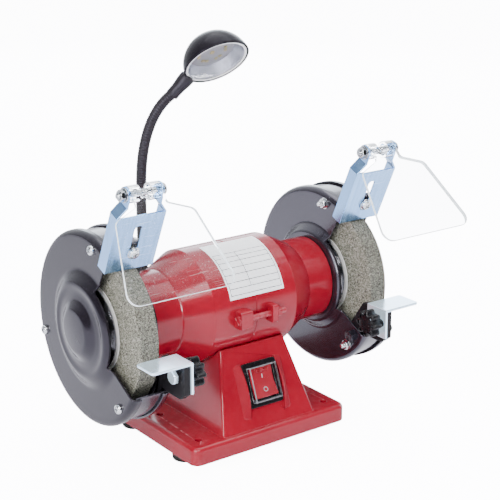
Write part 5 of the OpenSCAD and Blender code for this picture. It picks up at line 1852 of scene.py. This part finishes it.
@dataclass
class Switch:
    """Rocker switch on the pedestal's sloping front."""

    y: float = -50.117
    z: float = 53.0
    slope: float = 21.22
    pivot: float = -2.0
    tilt: float = -7.0
    half_h: float = 11.7
    half_w: float = 10.2
    crown: float = 6.6
    dip: float = 2.0
    mark: Point2 = (-0.3, 0.32)
    squareness: float = 0.93

    def frame(self) -> Matrix:
        """Placing of the switch: X across, Y up the slope and Z outward."""
        return at(0, self.y, self.z) @ turned(90 - self.slope, "X")

    def rocker_frame(self) -> Matrix:
        """Placing of the rocker about its pivot at rest."""
        return self.frame() @ moved(z=self.pivot) @ turned(self.tilt, "X")

    def face(self, half: int) -> Matrix:
        """Finds the placing on one half of the rocker's face.

        Args:
            half: 1 for the upper half, -1 for the lower one.

        Returns:
            The placing.
        """
        lean = math.degrees(math.atan2(self.dip, self.half_h))
        middle = moved(0, 0.5 * half * self.half_h, self.crown - self.dip / 2)
        return self.rocker_frame() @ middle @ turned(lean * half, "X")

    def rocker(self) -> None:
        """Rocker with its grip ribs, and the on and off marks."""
        h, c, rider = self.half_h, self.crown, Body.ROCKER.value
        piece = Piece("rocker_key", RED_PLASTIC, ("switch_rocker",), 0.35, 3, body=rider)
        outline = [(-h, c), (-h, 1.0), (-3.0, -5.0), (3.0, -5.0), (h, 1.0), (h, c), (h * 0.5, c - 1.2),
                   (0.0, c - self.dip), (-h * 0.5, c - 1.2)]
        piece.prism(outline, -self.half_w, self.half_w, self.rocker_frame() @ ZX_PLANE)
        for i in range(7):
            piece.prism(rectangle(0.9, 3.4, 0.2), -0.6, 0.9, self.face(1) @ moved(-6.0 + 2.0 * i, 3.6))
        piece.done()
        marks = Piece("rocker_marks", MARK_WHITE, (), 0.0, body=rider)
        marks.prism(rectangle(0.6, 3.2, 0.2), *self.mark, self.face(1) @ moved(y=-1.0))
        marks.washer((1.45, 1.95), self.mark, self.face(-1), 32)
        marks.done()

    def build(self) -> None:
        """Builds the switch's pieces."""
        copied("switch_bezel", BLACK_PLASTIC, "switch_housing", 0.6, 3)
        cover = copied("switch_clear_cover", CLEAR_COVER, "switch_cover", 0.22)
        turn = self.frame().to_3x3().transposed()
        # The cover's rounded edges take an opaque pale grey: painted highlight lines.
        tipped(cover, COVER_EDGE_HIGHLIGHT, lambda face: max(abs(c) for c in turn @ face.normal) < self.squareness)
        self.rocker()


# Work lamp


Station = tuple[float, Vector, Vector]


@dataclass
class Lamp:
    """Work lamp: foot, ribbed gooseneck, ferrule and domed head with its light board."""

    foot: Point3 = (-35.2, 62.45, 22.4)
    tube_r: float = 4.3
    tube_sides: int = 28
    rib: float = 0.42
    pitch: float = 2.1
    start_h: float = 17.0
    first_bend: float = 100.0
    second_bend: float = 168.0
    reach: tuple[Point3, ...] = ((0.0, 0.0, 0.0), (0.0, 0.0, 46.6), (10.9, -9.07, 67.78), (20.6, -17.3, 76.8))
    overrun: float = 3.0
    upper_cut: float = 30.0
    head: Point3 = (46.7, -39.45, 269.0)
    head_turn: Point2 = (87.0, 43.5)
    zone: float = 14.0
    rim_r: float = 26.75
    depth: float = 24.98
    wall: float = 1.4
    aim: float = 12.0
    board_r: float = 18.0
    lens_r: float = 25.0
    chip_r: float = 11.0
    chip_h: Point2 = (9.8, 10.7)

    def origin(self) -> Vector:
        """Point where the lamp stands on the base."""
        return at(*self.foot).to_translation()

    def bend(self) -> Vector:
        """Point where the neck's straight ends."""
        return self.origin() + Vector((0, 0, self.second_bend))

    def head_frame(self) -> Matrix:
        """Placing of the head: local Z runs from the rim into the dome."""
        place = Matrix.Translation(self.origin() + Vector(self.head))
        return place @ turned(self.head_turn[0], "Z") @ turned(self.head_turn[1], "Y")

    def route(self) -> list[Vector]:
        """Follows the neck's centreline.

        Returns:
            Close points from the foot into the ferrule.
        """
        line = [self.origin() + Vector((0, 0, self.start_h)), self.bend()]
        a, b, c, d = (self.bend() + Vector(p) for p in self.reach)
        for t in (i / 60 for i in range(1, 61)):
            u = 1 - t
            line.append(a * u**3 + b * (3 * u * u * t) + c * (3 * u * t * t) + d * t**3)
        return [*line, line[-1] + (line[-1] - line[-2]).normalized() * self.overrun]

    def points(self, step: float) -> list[Station]:
        """Spaces stations evenly along the neck.

        Args:
            step: Spacing.

        Returns:
            Distance, point and direction of each station.
        """
        line = self.route()
        out: list[Station] = []
        gone, want = 0.0, 0.0
        for a, b in zip(line, line[1:]):
            length = (b - a).length
            ahead = (b - a).normalized()
            while want <= gone + length:
                out.append((want, a + ahead * (want - gone), ahead))
                want += step
            gone += length
        return out

    def tube(self, piece: Piece, stations: Sequence[Station]) -> None:
        """Adds a stretch of ribbed tube.

        Args:
            piece: Piece that takes it.
            stations: Stations that it follows.
        """
        angles = [2 * math.pi * k / self.tube_sides for k in range(self.tube_sides)]
        across = Vector((1, 0, 0))
        rows = []
        for gone, point, ahead in stations:
            across = (across - ahead * across.dot(ahead)).normalized()
            other = ahead.cross(across)
            r = self.tube_r - self.rib * (1 - abs(math.sin(math.pi * gone / self.pitch)) ** 0.55)
            rows.append([point + (across * math.cos(a) + other * math.sin(a)) * r for a in angles])
        piece.grid(rows, wrap=True)

    def neck(self) -> None:
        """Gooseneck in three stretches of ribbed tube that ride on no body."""
        step = self.pitch / 8
        stations = self.points(step)
        last, straight = stations[-1][0], self.second_bend - self.start_h
        middle = (self.first_bend + self.second_bend) / 2 - self.start_h
        cuts = [0.0, middle, straight + self.upper_cut, last]
        pivots = [self.first_bend - self.start_h, straight, last - self.overrun]
        names = ("neck_lower", "neck_middle", "neck_upper")
        for i, name in enumerate(names):
            run = [s for s in stations if cuts[i] - 1e-6 <= s[0] <= cuts[i + 1] + step]
            piece = Piece(f"goose_{name}", NECK_BLACK, (name,), 0.0, 2, 180.0, None)
            self.tube(piece, run)
            made = piece.done()
            low, high = (min(stations, key=lambda s: abs(s[0] - (pivots[i] + way * self.zone)))[1]
                         for way in (-1, 1))
            start, end = low * MM, high * MM
            if i == 2:
                end = start + (high - low).normalized() * 2 * self.zone * MM
            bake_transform(made)

    def on_head(self, name: str, finish: Finish, node: str = "", bevel: float = 0.0,
                sharp: float = 32.0) -> Piece:
        """Starts a piece that rides on the lamp's head."""
        return Piece(name, finish, (node,) if node else (), bevel, 2, sharp, Body.LAMP_HEAD.value)

    def shade(self) -> None:
        """Spun dome with a rolled rim."""
        radius = (self.rim_r**2 + self.depth**2) / (2 * self.depth)
        middle = (0.0, self.depth - radius)
        low = math.degrees(math.asin(-middle[1] / radius))
        outer = arc(middle, radius, low, 90.0, 24)
        inner = arc(middle, radius - self.wall, 90.0, low + 1, 20)
        outer[-1] = (0.0, outer[-1][1])
        inner[0] = (0.0, inner[0][1])
        lip, r = inner[-1][0], self.rim_r
        bead = [(lip, 0.2), (lip + 0.2, 0.0), (r - 0.5, 0.0), (r + 0.15, 0.35), (r + 0.2, 1.1)]
        shell = self.on_head("lamp_dome", LAMP_BLACK, "lamp_shade", 0.0, 60.0)
        shell.lathe([*inner, *bead, *(p for p in outer if p[1] > 1.8)], self.head_frame(), 96)
        shell.done()

    def ferrule(self) -> None:
        """Tapered sleeve from the neck's end to the dome's edge."""
        end = self.bend() + Vector(self.reach[-1])
        ahead = self.head_frame() @ Vector((0, 0, self.aim)) - end
        place = Matrix.Translation(end) @ ahead.to_track_quat("Z", "Y").to_matrix().to_4x4()
        stop, r = ahead.length - self.rim_r, self.tube_r
        profile = [(r - 0.1, -2.2), (r + 0.5, -2.2), (r + 0.75, -1.8), (r + 0.8, 4.0), (r + 1.1, 8.0),
                   (r + 1.7, 11.5), (r + 1.9, stop - 1.6), (r + 1.5, stop - 0.2), (r, stop + 0.6),
                   (0.0, stop + 0.9)]
        piece = self.on_head("lamp_tapered_ferrule", NECK_BLACK, "lamp_ferrule", 0.0, 50.0)
        piece.lathe(profile, place, 48)
        piece.done()

    def light(self) -> None:
        """Bright reflector, light board with its chips, clear lens and the ring that seats it."""
        frame, r = self.head_frame(), self.lens_r
        bright = self.on_head("lamp_bright_cone", REFLECTOR, "lamp_reflector")
        cone = [(24.7, 2.5), (23.8, 2.5), (18.1, 10.5), (18.1, 11.5), (19.0, 11.5), (24.5, 3.6)]
        bright.ring(cone, frame, 96)
        bright.done()
        board = self.on_head("lamp_light_board", BOARD_WHITE, "led_board", 0.1)
        board.lathe([(0, 10.6), (self.board_r, 10.6), (self.board_r, 12.2), (0, 12.2)], frame, 64)
        board.done()
        chips = self.on_head("lamp_chips", CHIP_YELLOW, bevel=0.12)
        for i in range(6):
            turn = frame @ turned(60 * i + 10, "Z") @ moved(self.chip_r)
            for y in (-1.9, 1.9):
                chips.prism(rectangle(2.4, 2.8, 0.3), *self.chip_h, turn @ moved(y=y))
        chips.prism(rectangle(3.2, 3.2, 0.4), *self.chip_h, frame)
        chips.done()
        lens = self.on_head("lamp_clear_lens", CLEAR_COVER, "lamp_lens", 0.2)
        lens.lathe([(0, 1.2), (r, 1.2), (r, 2.4), (0, 2.4)], frame, 96)
        lens.done()
        seat = self.on_head("lamp_lens_ring", GLOWING_LABEL_FILM, bevel=0.1)
        seat.washer((r - 1.4, r + 0.1), (0.6, 1.15), frame, 96)
        seat.done()

    def build(self) -> None:
        """Builds the lamp's pieces."""
        copied("lamp_base_bracket", LAMP_BLACK, "lamp_foot", 0.7, 3)
        carried(lamp_foot_screws=SCREW_ZINC)
        self.neck()
        self.shade()
        self.light()
        self.ferrule()


# Studio


@dataclass
class SoftBox:
    """Area light that looks at a point."""

    name: str
    place: Point3
    target: Point3
    size: Point2
    power: float
    colour: Colour = WHITE

    def build(self) -> None:
        """Hangs the light."""
        light = bpy.data.lights.new(self.name, "AREA")
        light.shape = "RECTANGLE"
        light.size, light.size_y = self.size
        light.energy = self.power
        light.color = self.colour
        lamp = bpy.data.objects.new(self.name, light)
        lamp.location = self.place
        ahead = Vector(self.target) - Vector(self.place)
        lamp.rotation_euler = ahead.to_track_quat("-Z", "Y").to_euler()
        bpy.context.scene.collection.objects.link(lamp)


@dataclass
class Studio:
    """Pale floor, soft lights and the camera at the photo's angle."""

    floor_half: float = 9.0
    floor_tint: Colour = (0.91, 0.9, 0.96)
    floor_light: Colour = (0.97, 0.96, 1.0)
    sky: Point2 = (0.05, 2.2)
    sky_tint: Colour = (0.91, 0.95, 1.0)
    sweep: Point3 = (0.47, 0.64, 0.6)
    glow: float = 12.0
    glint: float = 0.0133
    lens: float = 95.85
    place: Point3 = (-0.57364, -0.79232, 0.45899)
    right: Point3 = (0.8051, -0.5931, 0.0)
    up: Point3 = (0.1767, 0.2398, 0.9546)
    back: Point3 = (-0.5662, -0.7686, 0.2979)
    boxes: tuple[SoftBox, ...] = (
        SoftBox("left key", (-1.35, -0.45, 0.75), (0, 0, 0.12), (0.5, 0.9), 15.0),
        SoftBox("front key", (-0.35, -1.05, 1.15), (0, 0, 0.12), (0.7, 0.6), 14.5, (1.0, 0.99, 1.0)),
        SoftBox("right fill", (1.4, -0.2, 0.6), (0, 0, 0.12), (0.6, 0.8), 10.0, (0.95, 0.98, 1.0)),
        SoftBox("overhead", (0.35, 0.1, 1.6), (0.1, 0.02, 0.1), (2.0, 1.2), 20.0),
        SoftBox("edge strip", (-1.18, -0.86, 0.66), (0, 0, 0.08), (0.12, 0.9), 15.0),
        SoftBox("back panel", (1.13, 1.54, 0.75), (0, 0, 0.12), (1.3, 0.8), 13.5, (0.84, 0.92, 1.0)),
    )

    def floor(self) -> None:
        """Wide pale floor that runs past the view and shows white to the camera and through clear sheets."""
        h = self.floor_half
        mesh = bpy.data.meshes.new("floor")
        mesh.from_pydata([(-h, -h, 0), (h, -h, 0), (h, h, 0), (-h, h, 0)], [], [(0, 1, 2, 3)])
        shader = Shader("pale floor")
        path = shader.node("LightPath").outputs
        direct = shader.math("LESS_THAN", path["Diffuse Depth"], 0.5)
        seen = shader.add(path["Is Camera Ray"], shader.times(path["Is Transmission Ray"], direct))
        mirrored = shader.spread(path["Is Glossy Ray"], 0.0, self.glint)
        white = shader.mix(shader.add(seen, mirrored), BLACK, self.floor_light)
        shader.set(Base_Color=self.floor_tint, Roughness=0.9, Specular_IOR_Level=0.0, Emission_Color=white,
                   Emission_Strength=self.glow)
        mesh.materials.append(shader.material)
        floor = bpy.data.objects.new("floor", mesh)
        bpy.context.scene.collection.objects.link(floor)

    def surroundings(self) -> None:
        """Pale sweep behind and above the machine that fades to a dark room behind the camera."""
        world = bpy.data.worlds.new("white surround")
        world.use_nodes = True
        graph = Graph(world.node_tree)
        background = next(n for n in graph.tree.nodes if n.type == "BACKGROUND")
        coords = graph.node("TexCoord").outputs["Generated"]
        facing = graph.vector("DOT_PRODUCT", coords, self.sweep).outputs["Value"]
        fade = graph.spread(facing, *self.sky)
        camera_ray = graph.node("LightPath").outputs["Is Camera Ray"]
        level = graph.node("Math", {0: camera_ray, 1: self.glow, 2: fade}, operation="MULTIPLY_ADD")
        graph.feed(background.inputs["Color"], self.sky_tint)
        graph.feed(background.inputs["Strength"], level.outputs["Value"])
        bpy.context.scene.world = world

    def camera(self) -> None:
        """Camera fitted to the photo."""
        data = bpy.data.cameras.new("photo view")
        data.lens = self.lens
        data.sensor_width = 36.0
        data.sensor_fit = "HORIZONTAL"
        data.clip_start = 0.05
        data.clip_end = 60.0
        data.dof.use_dof = False
        camera = bpy.data.objects.new("photo view", data)
        turn = Matrix((self.right, self.up, self.back)).transposed().to_4x4()
        camera.matrix_world = Matrix.Translation(self.place) @ turn
        bpy.context.scene.collection.objects.link(camera)
        bpy.context.scene.camera = camera

    def build(self) -> None:
        """Builds the studio."""
        self.floor()
        self.surroundings()
        for box in self.boxes:
            box.build()
        self.camera()


# Whole part


@dataclass
class Grinder:
    """Whole machine, sub-assembly by sub-assembly."""

    base: Base = field(default_factory=Base)
    motor: Motor = field(default_factory=Motor)
    rotor: Rotor = field(default_factory=Rotor)
    switch: Switch = field(default_factory=Switch)
    lamp: Lamp = field(default_factory=Lamp)

    def build(self) -> None:
        """Builds and dresses every piece."""
        for group in (self.base, self.motor, self.rotor, self.switch, self.lamp):
            group.build()
        covers = Piece("cover_screw_set", SCREW_ZINC, ("cover_screws",), 0.0)
        slots = Piece("slot_screw_set", SCREW_ZINC, ("deflector_screws",), 0.0)
        bolts = Piece("rest_bolt_set", GLOWING_REST_ZINC, ("rest_bolts",), 0.0)
        for side in Side:
            Guard(side).build(covers)
            Deflector(side).build(slots)
            ToolRest(side).build(bolts)
        for piece in (covers, slots, bolts):
            piece.done()
        carried(guard_screws=SCREW_ZINC, support_bolts=PLATE_BLACK)


def main() -> None:
    """Loads the frame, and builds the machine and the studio."""
    logging.basicConfig(level=logging.INFO, format="%(name)s: %(message)s")
    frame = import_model()
    Grinder().build()
    Studio().build()


if __name__ == "__main__":
    main()
